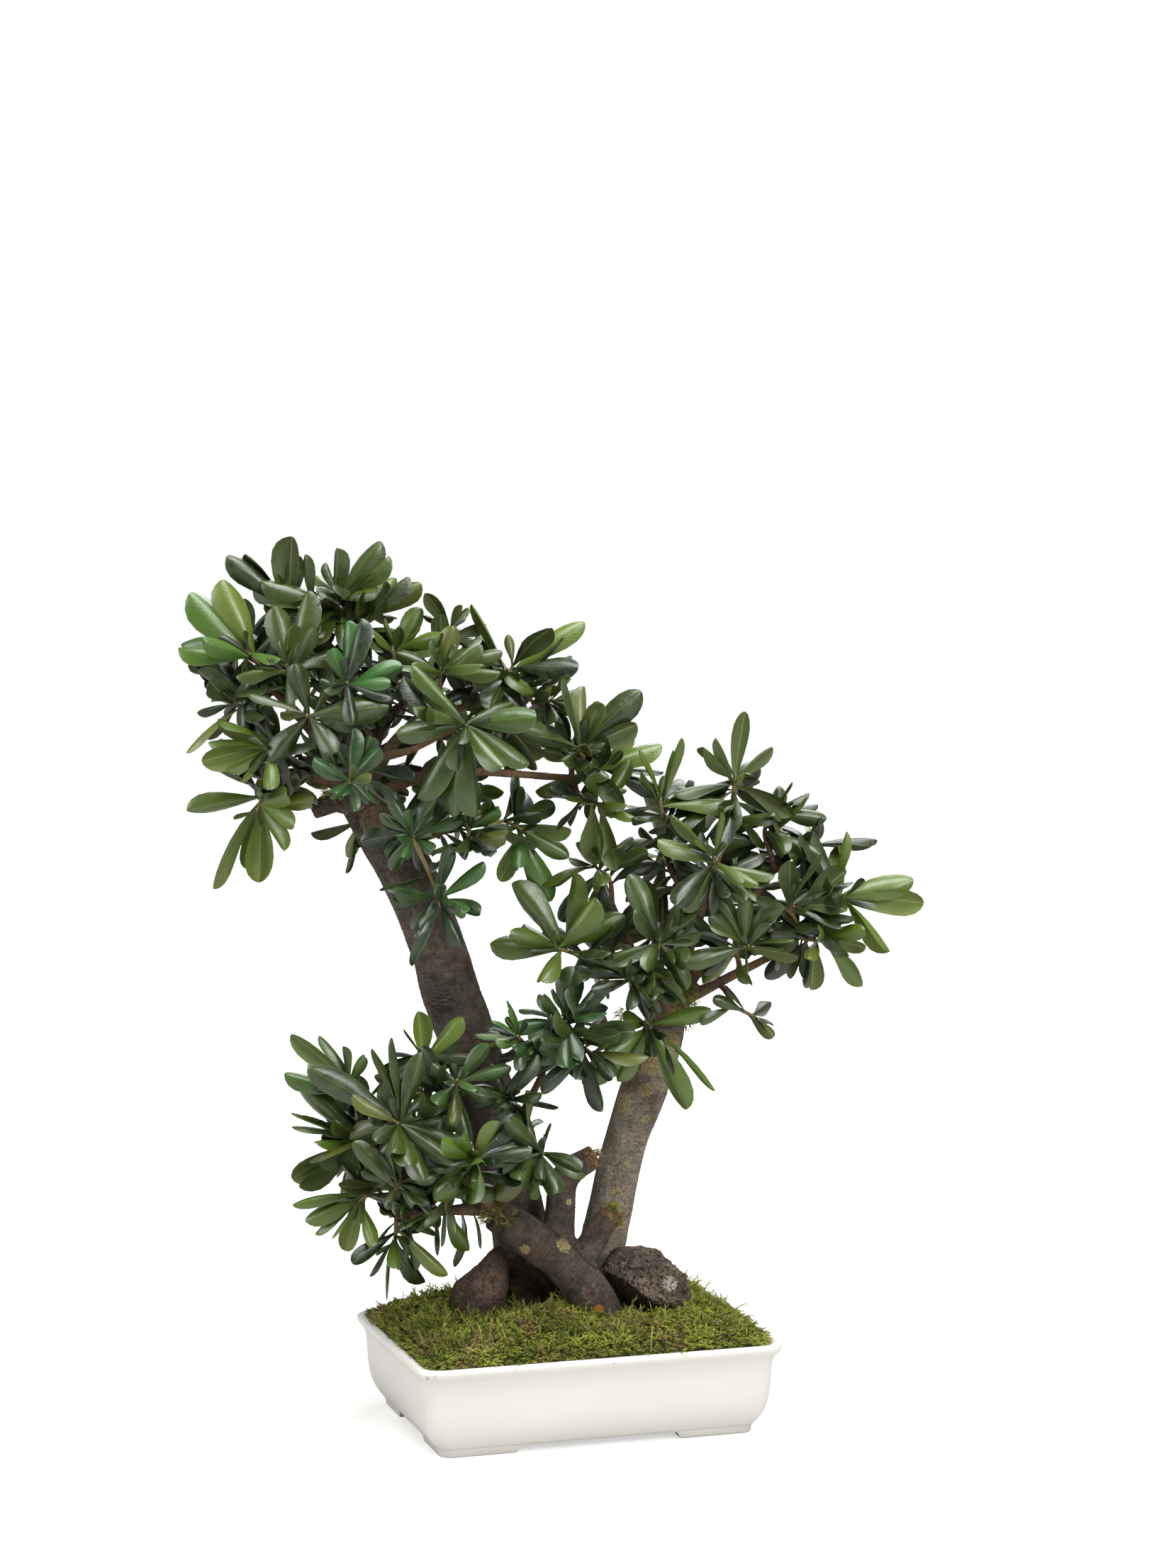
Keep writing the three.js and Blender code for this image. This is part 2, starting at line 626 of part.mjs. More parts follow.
      [-38, -66, 241, 0.15, -0.9, 0.3, 6, 36, [
        [-4, 225, 0.26, 0], [-39, 237, 0.38, 1], [-17, 233, 0.36, 1], [-47, 224, 0.5, -1],
        [-56, 233, 0.34, 1],
      ]],
    ],
    [
      [-60, -86, 200, 0.05, -1, -0.1, 6, 42, [
        [-67, 154, 0.42, 1], [-94, 156, 0.42, 1], [-59, 185, 0.38, 1], [-73, 202, 0.3, 1],
        [-88, 199, 0.4, 1],
      ]],
    ],
    [
      [-74, -66, 254, 0.1, -0.8, 0.55, 5, 40, [
        [-53, 233, 0.38, 1], [-91, 225, 0.44, 1], [-54, 268, 0.36, 1], [-38, 252, 0.3, 1],
      ]],
    ],
    [
      [2, -52, 296, 0.15, -0.6, 0.8, 8, 42, [
        [6, 325, 0.5, 1], [22, 313, 0.36, 1], [-15, 305, 0.34, 1], [-23, 272, 0.46, 1], [6, 253, 0.46, 1],
        [42, 280, 0.22, 0], [29, 292, 0.32, 1], [-17, 254, 0.44, 1],
      ]],
      [20, -52, 270, 0.6, -0.6, -0.3, 6, 50, [
        [27, 220, 0.32, 1], [34, 245, 0.34, 1], [10, 250, 0.36, -1], [-16, 233, 0.34, 1], [48, 256, 0.2, 0],
      ]],
    ],
    [
      [-32, -62, 284, -0.3, -0.75, 0.5, 6, 36, [
        [-32, 252, 0.44, 1], [-58, 264, 0.42, 1], [-64, 276, 0.2, 0], [-40, 301, 0.2, 0],
        [-39, 296, 0.2, 0], [-52, 287, 0.2, 0],
      ]],
    ],
    [
      [-112, 14, 218, -0.5, 0.8, 0.3, 5, 46],
      [-120, 8, 168, -0.6, 0.7, -0.4, 5, 44],
    ],
  ],
};

const curveOf = (rows) => new THREE.CatmullRomCurve3(rows.map(([x, y, z]) => vec(x, y, z)), false, "centripetal");
const radiiOf = (rows) => rows.map((row) => row[3]);

function readWhorl([x, y, z, ax, ay, az, count, length, tips = []]) {
  const aim = unit(ax, ay, az);
  const tip = vec(x, y, z);
  return { tip, aim, base: tip.clone().addScaledVector(aim, -shootLength), count, length, tips };
}

// The point of a limb from which a twig to this place looks natural: near, and not bent back
function bestFork(limbRows, place) {
  let best = null;
  for (const rows of limbRows) {
    const curve = curveOf(rows);
    for (const t of [0.3, 0.45, 0.6, 0.75, 0.9, 1]) {
      const point = curve.getPoint(t);
      const way = place.clone().sub(point);
      const reach = way.length();
      const along = curve.getTangent(t);
      const turn = 1 - along.dot(way) / reach;
      const cost = reach * (1 + 0.6 * turn) + (reach < 14 ? 60 : 0);
      if (!best || cost < best.cost) best = { cost, point, along };
    }
  }
  return best;
}

// A twig leaves its limb the way that the limb runs, and meets the shoot in line with it
function twigPath(fork, along, base, aim) {
  const reach = base.distanceTo(fork);
  const leave = base.clone().sub(fork).normalize().addScaledVector(along, 0.5).normalize();
  return new THREE.CubicBezierCurve3(
    fork,
    fork.clone().addScaledVector(leave, reach * 0.35),
    base.clone().addScaledVector(aim, -reach * 0.3),
    base,
  );
}

function makeTrunk(part) {
  const steps = trunkSteps[part];
  const rows = trunks[part];
  const bodies = [tube(curveOf(rows), radiiOf(rows), trunkSides, steps, unevenness)];
  for (const stub of stubs[part]) bodies.push(tube(curveOf(stub), radiiOf(stub), 6, 3, unevenness));
  for (const limb of limbs[part]) bodies.push(tube(curveOf(limb), radiiOf(limb), 4, 2));
  for (const [row] of whorls[part]) {
    const { base, aim } = readWhorl(row);
    const fork = bestFork(limbs[part], base);
    const end = base.clone().addScaledVector(aim, -gap);
    const path = twigPath(fork.point, fork.along, end, aim);
    bodies.push(tube(path, [twigRadius * 1.25, twigRadius], 3, path.getLength() > 36 ? 2 : 1));
  }
  return fuse(bodies);
}

// Leaves. Half the width of a leaf along its length, as a share of its widest: obovate, with a round tip
function leafOutline(t) {
  return (t ** 1.1 * (1 - t ** 2.6) ** 0.6) / 0.5;
}

// Where a tip that the eye sees against the plane y = 0 lies, so that the leaf has about its whorl's length
function tipPlace(whorl, root, [x, z, , side]) {
  const want = whorl.length * 0.95;
  const inward = whorl.aim.y > 0.05 || (side < 0 && whorl.aim.y > -0.5);
  const tip = vec(x, root.y, z);
  for (let k = 0; k < 5; k++) {
    const scale = 1 - tip.y / eye.y;
    tip.x = eye.x + (x - eye.x) * scale;
    tip.z = eye.z + (z - eye.z) * scale;
    const flat = Math.hypot(tip.x - root.x, tip.z - root.z);
    const depth = Math.min(0.8 * Math.sqrt(Math.max(0, want ** 2 - flat ** 2)), 0.72 * want);
    tip.y = root.y + (inward ? depth : -depth) * (side === 0 ? 0.5 : 1);
  }
  return tip;
}

// A leaf that reaches for its tip. Its later tries reach beside it.
function aimLeaf(whorl, index, attempt, roll) {
  const { aim, base, count, tips } = whorl;
  const [, , width, side] = tips[index];
  const rank = (index + 0.5) / count;
  const root = base.clone().addScaledVector(aim, shootLength * (0.2 + 0.75 * rank));
  const tip = tipPlace(whorl, root, tips[index]);
  tip.add(vec(roll() - 0.5, roll() - 0.5, roll() - 0.5).multiplyScalar(attempt * 5));
  const outward = tip.clone().sub(root);
  outward.addScaledVector(aim, 0.01 - outward.dot(aim)).normalize();
  root.addScaledVector(outward, shootRadius * 0.2);
  const chord = tip.clone().sub(root);
  const reach = chord.length();
  chord.normalize();
  const half = THREE.MathUtils.degToRad(5 + 11 * roll());
  const up =
    side === 0 ? chord.clone().cross(vec(0, 1, 0.001)) : vec(0, -0.8 * side, 0.5).addScaledVector(aim, 0.3);
  if (side === 0 && up.z < 0) up.negate();
  up.addScaledVector(chord, -up.dot(chord)).normalize();
  const way = chord.clone().multiplyScalar(Math.cos(half)).addScaledVector(up, Math.sin(half));
  const face = up.multiplyScalar(Math.cos(half)).addScaledVector(chord, -Math.sin(half));
  return { root, way, face, bend: 2 * half, length: (reach * half) / Math.sin(half), width };
}

// Where a leaf of a whorl starts, and how it lies
function readLeaf(whorl, index, attempt, seed) {
  const roll = dice(seed * 1000 + index * 20 + attempt);
  if (index < whorl.tips.length && attempt < 8) return aimLeaf(whorl, index, attempt, roll);
  const { aim, base, count, length } = whorl;
  const rank = (index + 0.5) / count; // 0 at the foot of the shoot, 1 at its top
  const spread = 1 + attempt * 0.25;
  const around = index * 2.39996 + (roll() - 0.5) * 0.9 * spread;
  const tilt = THREE.MathUtils.degToRad(96 - 64 * rank + (roll() - 0.5) * 36 * spread);
  const bend = THREE.MathUtils.degToRad(8 + roll() * 40);
  const size = length * (0.78 + 0.36 * roll()) * (attempt > 5 ? 0.8 : 1);
  const lift = 0.35 + 0.5 * roll();
  const helper = Math.abs(aim.z) > 0.8 ? vec(1, 0, 0) : vec(0, 0, 1);
  const side = helper.addScaledVector(aim, -helper.dot(aim)).normalize();
  const across = aim.clone().cross(side);
  const outward = side
    .clone()
    .multiplyScalar(Math.cos(around))
    .addScaledVector(across, Math.sin(around));
  const way = outward
    .clone()
    .multiplyScalar(Math.sin(tilt))
    .addScaledVector(aim, Math.cos(tilt))
    .addScaledVector(vec(0, 0, 1), 0.12)
    .normalize();
  const face = aim.clone().addScaledVector(vec(0, 0, 1), lift);
  face.addScaledVector(way, -face.dot(way)).normalize();
  const root = base
    .clone()
    .addScaledVector(aim, shootLength * (0.2 + 0.75 * rank))
    .addScaledVector(outward, shootRadius * 0.2);
  return { root, way, face, bend, length: size, width: leafWidthShare };
}

// A point of a leaf: t along its rib from 0 to 1, and x across it from -1 to 1
function leafPoint(leaf, t, x, lift = 0) {
  const { root, way, face, bend, length, width } = leaf;
  const turn = bend * t;
  const along = way.clone().multiplyScalar(Math.cos(turn)).addScaledVector(face, -Math.sin(turn));
  const normal = face.clone().multiplyScalar(Math.cos(turn)).addScaledVector(way, Math.sin(turn));
  const across = along.cross(normal);
  const half = (length * width * leafOutline(t)) / 2;
  return root
    .clone()
    .addScaledVector(way, (length * Math.sin(turn)) / bend)
    .addScaledVector(face, (-length * (1 - Math.cos(turn))) / bend)
    .addScaledVector(across, x * half)
    .addScaledVector(normal, lift);
}

// A blade: an edge of seven points, a raised rib of two points on its upper side, and a plain underside.
// Both sides fold along the same lines across the rib.
const bladeEdge = [
  [0, 0],
  [0.36, 1],
  [0.72, 1],
  [0.97, 1],
  [0.97, -1],
  [0.72, -1],
  [0.36, -1],
];
const bladeRib = [0.36, 0.72];
const bladeUpper = [
  [0, 1, 7],
  [1, 2, 8],
  [1, 8, 7],
  [2, 3, 8],
  [3, 4, 8],
  [4, 5, 8],
  [5, 6, 7],
  [5, 7, 8],
  [6, 0, 7],
];
const bladeUnder = [
  [0, 6, 1],
  [1, 6, 2],
  [2, 6, 5],
  [2, 5, 3],
  [3, 5, 4],
];

function makeBlade(leaf, from = 0) {
  const points = bladeEdge.map(([t, x]) => leafPoint(leaf, Math.max(t, from), x));
  for (const t of bladeRib) points.push(leafPoint(leaf, t, 0, leafThickness));
  const triangles = [...bladeUpper, ...bladeUnder];
  const blade = solidOf(points, triangles);
  return blade.volume() > 0 ? blade : solidOf(points, triangles.map(([a, b, c]) => [a, c, b]));
}

function makeShoot({ base, aim }) {
  const bud = base.clone().addScaledVector(aim, shootLength + 2);
  return tube(new THREE.LineCurve3(base, bud), [shootRadius, shootRadius * 0.7], 3, 1);
}

// The box of a solid, for a quick test before the exact one
function boxOf(solid) {
  const { min, max } = solid.boundingBox();
  return new THREE.Box3(vec(...min), vec(...max)).expandByScalar(gap);
}

function isClear(blade, others, room = gap) {
  const box = boxOf(blade);
  return others.every((o) => !o.box.intersectsBox(box) || blade.minGap(o.solid, gap) >= room);
}

// All the leafy stems: shoots first, then each leaf in the first of its tries that is clear of the rest
function makeFoliage(obstacles) {
  const stems = [];
  const taken = obstacles.map((solid) => ({ solid, box: boxOf(solid), stem: null }));
  for (const part of Object.keys(whorls)) {
    whorls[part].forEach((rows, number) => {
      const stem = { name: `leaves_${part}_${String(number + 1).padStart(2, "0")}`, part, bodies: [] };
      stem.heads = rows.map(readWhorl);
      for (const head of stem.heads) stem.bodies.push(makeShoot(head));
      const [first, ...others] = stem.heads;
      for (const other of others) {
        const start = first.base.clone().addScaledVector(first.aim, shootLength * 0.55);
        const end = other.base.clone().addScaledVector(other.aim, 2);
        const path = twigPath(start, first.aim, end, other.aim);
        stem.bodies.push(tube(path, [shootRadius, shootRadius * 0.95], 3, path.getLength() > 36 ? 2 : 1));
      }
      for (const solid of stem.bodies) taken.push({ solid, box: boxOf(solid), stem });
      stems.push(stem);
    });
  }
  let seed = 0;
  for (const stem of stems) {
    for (const head of stem.heads) {
      seed++;
      for (let index = 0; index < head.count; index++) {
        let placed = false;
        for (let attempt = 0; attempt < leafTries && !placed; attempt++) {
          const leaf = readLeaf(head, index, attempt, seed);
          const blade = makeBlade(leaf);
          const strangers = taken.filter((t) => t.stem !== stem);
          const sisters = taken.filter((t) => t.stem === stem && t.isLeaf);
          if (!isClear(blade, strangers) || !isClear(makeBlade(leaf, 0.3), sisters, 0.05)) continue;
          taken.push({ solid: blade, box: boxOf(blade), stem, isLeaf: true });
          stem.bodies.push(blade);
          placed = true;
        }
      }
    }
    stem.solid = fuse(stem.bodies);
  }
  return stems;
}

// Lava rocks: a ball pushed in and out by a formula, squashed and sunk into the moss. One narrows to a peak,
// the other leans down to the right.
const rocks = {
  left: { at: [-59, -13, 97], size: [22, 21, 28], lean: 0.35, slope: 0, taper: 0.35, seed: 3 },
  right: { at: [58.5, -2, 99.5], size: [33, 18, 20.5], lean: 0, slope: -0.23, taper: 0, seed: 8 },
};

function makeRock({ at, size, lean, slope, taper, seed }, grow = 0) {
  const ball = new THREE.IcosahedronGeometry(1, 1);
  const position = ball.getAttribute("position");
  for (let i = 0; i < position.count; i++) {
    const p = vec(position.getX(i), position.getY(i), position.getZ(i)).normalize();
    const lump = Math.sin(3.1 * p.x + seed) * Math.cos(2.7 * p.y - seed) + Math.sin(4.3 * p.z + 2 * seed);
    const r = 1 + 0.09 * lump;
    const narrow = 1 - taper * Math.max(0, p.z);
    const x = p.x * (size[0] * r * narrow + grow) + lean * p.z * size[2];
    const z = p.z * (size[2] * r + grow) + slope * p.x * size[0];
    position.setXYZ(i, at[0] + x, at[1] + p.y * (size[1] * r * narrow + grow), at[2] + z);
  }
  return solidFromGeometry(ball);
}

// A trunk's hole in soil and moss, wider all round by the gap
function makeHole(part) {
  return tube(curveOf(trunks[part]), radiiOf(trunks[part]), trunkSides, trunkSteps[part], unevenness, gap);
}

// Put together
const bark = new THREE.MeshStandardMaterial({ color: 0x574a42, roughness: 0.9 });
const leafGreen = new THREE.MeshStandardMaterial({ color: 0x2c4a22, roughness: 0.4, side: THREE.DoubleSide });
const glaze = new THREE.MeshStandardMaterial({ color: 0xf1ede4, roughness: 0.3 });
const earth = new THREE.MeshStandardMaterial({ color: 0x3b2d22, roughness: 1 });
const mossGreen = new THREE.MeshStandardMaterial({ color: 0x6f8a2c, roughness: 1 });
const lava = new THREE.MeshStandardMaterial({ color: 0x4a3a33, roughness: 1 });

const planted = new THREE.Group();
const tree = new THREE.Group();
tree.rotation.z = treeTurn;
planted.add(tree);

const turnDegrees = THREE.MathUtils.radToDeg(treeTurn);
const toTray = (solid) => solid.rotate([0, 0, turnDegrees]);
const toTree = (solid) => solid.rotate([0, 0, -turnDegrees]);

const wood = {
  main: makeTrunk("main"),
  right: makeTrunk("right"),
  low: makeTrunk("low"),
};
const stones = { left: makeRock(rocks.left), right: makeRock(rocks.right) };
const holes = toTray(Manifold.union(Object.keys(trunks).map(makeHole)));
const pockets = toTray(Manifold.union([makeRock(rocks.left, gap), makeRock(rocks.right, gap)]));

const trayBody = makeTray();
const soil = makeSoil().subtract(holes).subtract(pockets);
const cushion = makeMossCushion().subtract(holes).subtract(pockets);

planted.add(meshOf("tray", trayBody, glaze));
planted.add(meshOf("soil", soil, earth));
planted.add(meshOf("moss", cushion, mossGreen));
tree.add(meshOf("rock_left", stones.left, lava));
tree.add(meshOf("rock_right", stones.right, lava));
tree.add(meshOf("trunk_main", wood.main, bark));
tree.add(meshOf("trunk_right", wood.right, bark));
tree.add(meshOf("branch_low", wood.low, bark));

const obstacles = [...Object.values(wood), ...Object.values(stones), toTree(trayBody), toTree(cushion)];
const stems = makeFoliage(obstacles);
for (const stem of stems) tree.add(meshOf(stem.name, stem.solid, leafGreen));

// The origin is on the ground, under the middle of the whole outline
const bounds = new THREE.Box3().setFromObject(planted, true);
const middle = bounds.getCenter(new THREE.Vector3());
planted.position.set(-middle.x, -middle.y, 0);
const bonsai = new THREE.Group();
bonsai.add(planted);

export default bonsai;
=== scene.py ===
# A Japanese pittosporum bonsai in a cream tray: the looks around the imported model.
import math

import bpy
import numpy as np
from mathutils import Matrix, Vector, kdtree, noise


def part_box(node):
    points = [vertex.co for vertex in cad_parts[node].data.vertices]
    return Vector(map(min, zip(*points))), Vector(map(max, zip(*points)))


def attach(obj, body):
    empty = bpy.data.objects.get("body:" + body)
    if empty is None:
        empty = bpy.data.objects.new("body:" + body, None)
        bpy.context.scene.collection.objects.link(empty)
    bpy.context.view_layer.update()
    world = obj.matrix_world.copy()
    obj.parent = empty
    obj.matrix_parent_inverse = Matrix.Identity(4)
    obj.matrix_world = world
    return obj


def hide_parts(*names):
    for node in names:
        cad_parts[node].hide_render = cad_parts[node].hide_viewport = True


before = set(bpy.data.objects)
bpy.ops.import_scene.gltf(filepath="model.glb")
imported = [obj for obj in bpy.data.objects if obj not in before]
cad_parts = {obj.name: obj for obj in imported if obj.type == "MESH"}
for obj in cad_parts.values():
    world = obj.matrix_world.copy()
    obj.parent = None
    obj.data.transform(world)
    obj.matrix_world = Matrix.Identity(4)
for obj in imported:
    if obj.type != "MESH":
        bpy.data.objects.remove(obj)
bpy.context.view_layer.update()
bpy.ops.object.select_all(action="DESELECT")
scene = bpy.context.scene
print("frame loaded")

mm = 0.001
trayLow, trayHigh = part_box("tray")
trayCentre = Vector(((trayLow.x + trayHigh.x) / 2, (trayLow.y + trayHigh.y) / 2, 0))
treeTurn = math.radians(-18)
toTray = Matrix.Translation(trayCentre) @ Matrix.Scale(mm, 4)  # millimetres about the tray's middle
toTree = Matrix.Translation(trayCentre) @ Matrix.Rotation(treeTurn, 4, "Z") @ Matrix.Scale(mm, 4)

# Camera at the photo's angle, and a soft white studio
view = {"turn": math.radians(-17.74), "distance": 2.3, "aside": 0.0162, "height": 0.6074,
        "pitch": math.radians(3.81), "lens": 74.86}
towardCamera = Vector((math.sin(view["turn"]), -math.cos(view["turn"]), 0))
toTheRight = Vector((math.cos(view["turn"]), math.sin(view["turn"]), 0))
bpy.ops.object.camera_add(
    location=trayCentre + towardCamera * view["distance"] + toTheRight * view["aside"]
    + Vector((0, 0, view["height"])),
    rotation=(math.pi / 2 - view["pitch"], 0, view["turn"]))
camera = bpy.context.object
camera.name = "camera"
camera.data.lens = view["lens"]
camera.data.sensor_width = 36
camera.data.clip_start = 0.05
scene.camera = camera
scene.view_settings.view_transform = "Standard"

studio = {"roomLight": 0.125, "roomGloss": 0.31, "floorWhite": (0.56, 1.06), "floorReach": (0.5, 1.6),
          "lamps": [  # name, right, toward camera, up, size, watts
              ("lampTop", 0.1, 0.45, 2.15, 1.4, 55),
              ("lampFront", 1.2, 1.7, 1.4, 1.1, 40),
              ("lampLeft", -2.6, 0.9, 1.1, 1.7, 46),
              ("lampBack", 0.3, -1.7, 1.9, 1.2, 22)]}


def addLamp(name, right, toward, up, size, watts):
    place = trayCentre + toTheRight * right + towardCamera * toward + Vector((0, 0, up))
    aim = trayCentre + Vector((0, 0, 0.3)) - place
    bpy.ops.object.light_add(type="AREA", location=place, rotation=aim.to_track_quat("-Z", "Y").to_euler())
    lamp = bpy.context.object
    lamp.name = name
    lamp.data.size = size
    lamp.data.energy = watts


for lampRow in studio["lamps"]:
    addLamp(*lampRow)


class NodeSheet:
    # short ways to lay out the nodes of the world or of a material
    def __init__(self, owner):
        owner.use_nodes = True
        self.owner, self.nodes, self.links = owner, owner.node_tree.nodes, owner.node_tree.links

    def plug(self, socket, value):
        # the value is the output of another node, or plain
        if hasattr(value, "links"):
            self.links.new(value, socket)
        else:
            socket.default_value = value

    def add(self, kind, inputs, **settings):
        node = self.nodes.new("ShaderNode" + kind)
        for name, value in settings.items():
            setattr(node, name, value)
        for name, value in inputs.items():
            self.plug(node.inputs[name], value)
        return node


scene.world = bpy.data.worlds.new("studioWhite")
room = NodeSheet(scene.world)
lightPath = room.add("LightPath", {}).outputs
# glossy things see a brighter room than the one that lights them
roomStrength = room.add("Math", {0: lightPath["Is Glossy Ray"], 1: studio["roomGloss"] - studio["roomLight"],
                                 2: studio["roomLight"]}, operation="MULTIPLY_ADD")
background = room.nodes["Background"]
room.plug(background.inputs["Color"], (1, 1, 1, 1))
room.plug(background.inputs["Strength"], roomStrength.outputs[0])
backdrop = room.add("Background", {"Color": (1, 1, 1, 1), "Strength": 1.0})
whatIsSeen = room.add("MixShader", {0: lightPath["Is Camera Ray"], 1: background.outputs[0],
                                    2: backdrop.outputs[0]})
room.plug(room.nodes["World Output"].inputs["Surface"], whatIsSeen.outputs[0])


def photoColour(colour):
    # a colour as read off a screen, 0 to 255, as the linear one that a shader wants
    return (*(((c / 255 + 0.055) / 1.055) ** 2.4 if c > 10 else c / 255 / 12.92 for c in colour), 1)


class Recipe(NodeSheet):
    # a material; a tone is a screen colour or the output of another node
    def __init__(self, name):
        super().__init__(bpy.data.materials.new(name))
        self.shader = self.nodes["Principled BSDF"]
        self.place = self.add("TexCoord", {}).outputs["Object"]

    def attribute(self, name):
        return self.add("Attribute", {}, attribute_name=name).outputs["Vector"]

    def parts(self, name):
        return self.add("SeparateXYZ", {0: self.attribute(name)}).outputs

    def clouds(self, vector, scale, detail=4.0, rough=0.55, stretch=None):
        if stretch:
            vector = self.add("Mapping", {"Vector": vector, "Scale": stretch}).outputs[0]
        inputs = {"Vector": vector, "Scale": scale, "Detail": detail, "Roughness": rough}
        return self.add("TexNoise", inputs).outputs[0]

    def cells(self, vector, scale, feature="F1"):
        return self.add("TexVoronoi", {"Vector": vector, "Scale": scale}, feature=feature).outputs["Distance"]

    def band(self, value, low, high, start=0.0, end=1.0):
        inputs = {"Value": value, "From Min": low, "From Max": high, "To Min": start, "To Max": end}
        return self.add("MapRange", inputs, interpolation_type="SMOOTHSTEP").outputs[0]

    def maths(self, kind, first, second=0.5):
        return self.add("Math", {0: first, 1: second}, operation=kind).outputs[0]

    def times(self, first, second):
        return self.maths("MULTIPLY", first, second)

    def blend(self, share, first, second):
        first, second = (photoColour(tone) if isinstance(tone, tuple) else tone for tone in (first, second))
        return self.add("Mix", {0: share, 6: first, 7: second}, data_type="RGBA").outputs[2]

    def cover(self, share, tone):
        self.colour = self.blend(share, self.colour, tone)

    def layers(self, *rows):
        # each row has a tone, and the band of a value in which it covers the colour so far
        for tone, value, *limits in rows:
            self.cover(self.band(value, *limits), tone)

    def near(self, point, radius, soft, toWorld=toTree):
        # 1 at a place and 0 away from it, in millimetres
        node = self.add("VectorMath", {0: self.place, 1: toWorld @ Vector(point)}, operation="DISTANCE")
        reach = radius * mm
        return self.band(node.outputs["Value"], reach * (1 - soft), reach * (1 + soft), 1.0, 0.0)

    def relief(self, *rows):
        # each row has a height, its depth and its strength
        normal = self.shader.inputs["Normal"]
        for height, depth, strength in rows:
            node = self.add("Bump", {"Height": height, "Distance": depth, "Strength": strength})
            if normal.links:
                self.plug(node.inputs["Normal"], normal.links[0].from_socket)
            self.plug(normal, node.outputs[0])

    def finish(self, **values):
        names = {"colour": "Base Color", "rough": "Roughness", "shine": "Specular IOR Level",
                 "coat": "Coat Weight", "coatRough": "Coat Roughness"}
        for key, value in dict(values, colour=self.colour).items():
            self.plug(self.shader.inputs[names[key]], value)
        return self.owner


def makeMesh(name, points, faces, matrix):
    mesh = bpy.data.meshes.new(name)
    points = np.asarray(points, float) @ np.array(matrix.to_3x3()).T + np.array(matrix.translation)
    mesh.from_pydata([tuple(p) for p in points], [], [tuple(f) for f in faces])
    mesh.update()
    piece = bpy.data.objects.new(name, mesh)
    scene.collection.objects.link(piece)
    return piece


def pick(piece):
    bpy.ops.object.select_all(action="DESELECT")
    piece.select_set(True)
    bpy.context.view_layer.objects.active = piece


def applyAll(piece):
    pick(piece)
    for modifier in list(piece.modifiers):
        bpy.ops.object.modifier_apply(modifier=modifier.name)


def softEdges(piece, degrees):
    pick(piece)
    bpy.ops.object.shade_smooth_by_angle(angle=math.radians(degrees))


def paintPoints(piece, name, values):
    layer = piece.data.attributes.new(name, "FLOAT_VECTOR", "POINT")
    layer.data.foreach_set("vector", np.asarray(values, np.float32).ravel())


def pointsOf(piece):
    flat = np.empty(len(piece.data.vertices) * 3, np.float32)
    piece.data.vertices.foreach_get("co", flat)
    return flat.reshape(-1, 3).astype(float)


def setPoints(piece, points):
    piece.data.vertices.foreach_set("co", np.asarray(points, np.float32).ravel())
    piece.data.update()


# Floor: it is lit up for the camera alone, more so towards the horizon, so that it ends in plain white
bpy.ops.mesh.primitive_plane_add(size=12, location=(0, 0, 0))
floor = bpy.context.object
floor.name = "floor"
paper = Recipe("paperWhite")
paper.colour = paper.blend(paper.clouds(paper.place, 3.0, 2.0), (203.4, 201.9, 198.8), (207.9, 206.4, 203.4))
fromMiddle = paper.add("VectorMath", {0: paper.place}, operation="LENGTH").outputs["Value"]
glow = paper.band(fromMiddle, *studio["floorReach"], *studio["floorWhite"])
paper.plug(paper.shader.inputs["Emission Color"], (1, 1, 1, 1))
paper.plug(paper.shader.inputs["Emission Strength"],
           paper.times(paper.add("LightPath", {}).outputs["Is Camera Ray"], glow))
floor.data.materials.append(paper.finish(rough=0.9, shine=0.1))

# Tray: rings of a rounded rectangle, from under the tray, up its outside, over the lip and down inside
tray = {"halfX": 132, "halfY": 99, "corner": 14, "cornerSteps": 10, "footHeight": 5, "archWide": 112,
        "archNarrow": 62, "archSplay": 5, "barPast": 20, "edge": 0.5,
        "outside": [(32.5, 5), (32.5, 0.6), (32.0, 0), (19.4, 0), (18.7, 0.3), (18.3, 1), (17.6, 5.4),
                    (17.2, 6), (16.5, 6.3), (16.0, 7), (13.4, 10.6), (11.0, 14.6), (9.2, 19), (8.1, 23.6),
                    (7.3, 28.6), (6.8, 34), (6.4, 40), (6.1, 46), (5.6, 51), (4.6, 54.4), (3.0, 57),
                    (1.4, 58.8), (0.5, 60.3), (0.05, 61.9), (0.2, 63.3), (0.9, 64.4), (2.1, 64.95),
                    (3.6, 65)],
        "inside": [(5.1, 64.7), (6.3, 63.9), (7.1, 62.6), (7.7, 60.2), (8.4, 57), (9.4, 46), (11, 36),
                   (14, 26), (18, 18), (21, 15.4), (25, 14)],
        "chips": [(-127, -94, 60.5, 1.7), (-122, -98, 62, 1.1), (-131, -70, 57, 1.2), (4, -99, 62, 0.7),
                  (38, -92, 30, 0.5)]}


def cornerRadius(inset):
    return max(6, tray["corner"] - 0.3 * inset)


def trayRing(inset, z, steps=tray["cornerSteps"]):
    radius = cornerRadius(inset)
    halfX, halfY = tray["halfX"] - inset, tray["halfY"] - inset
    ring = []
    for quarter, (signX, signY) in enumerate(((1, 1), (-1, 1), (-1, -1), (1, -1))):
        for k in range(steps + 1):
            angle = (quarter + k / steps) * math.pi / 2
            ring.append((signX * (halfX - radius) + radius * math.cos(angle),
                         signY * (halfY - radius) + radius * math.sin(angle), z))
    return ring


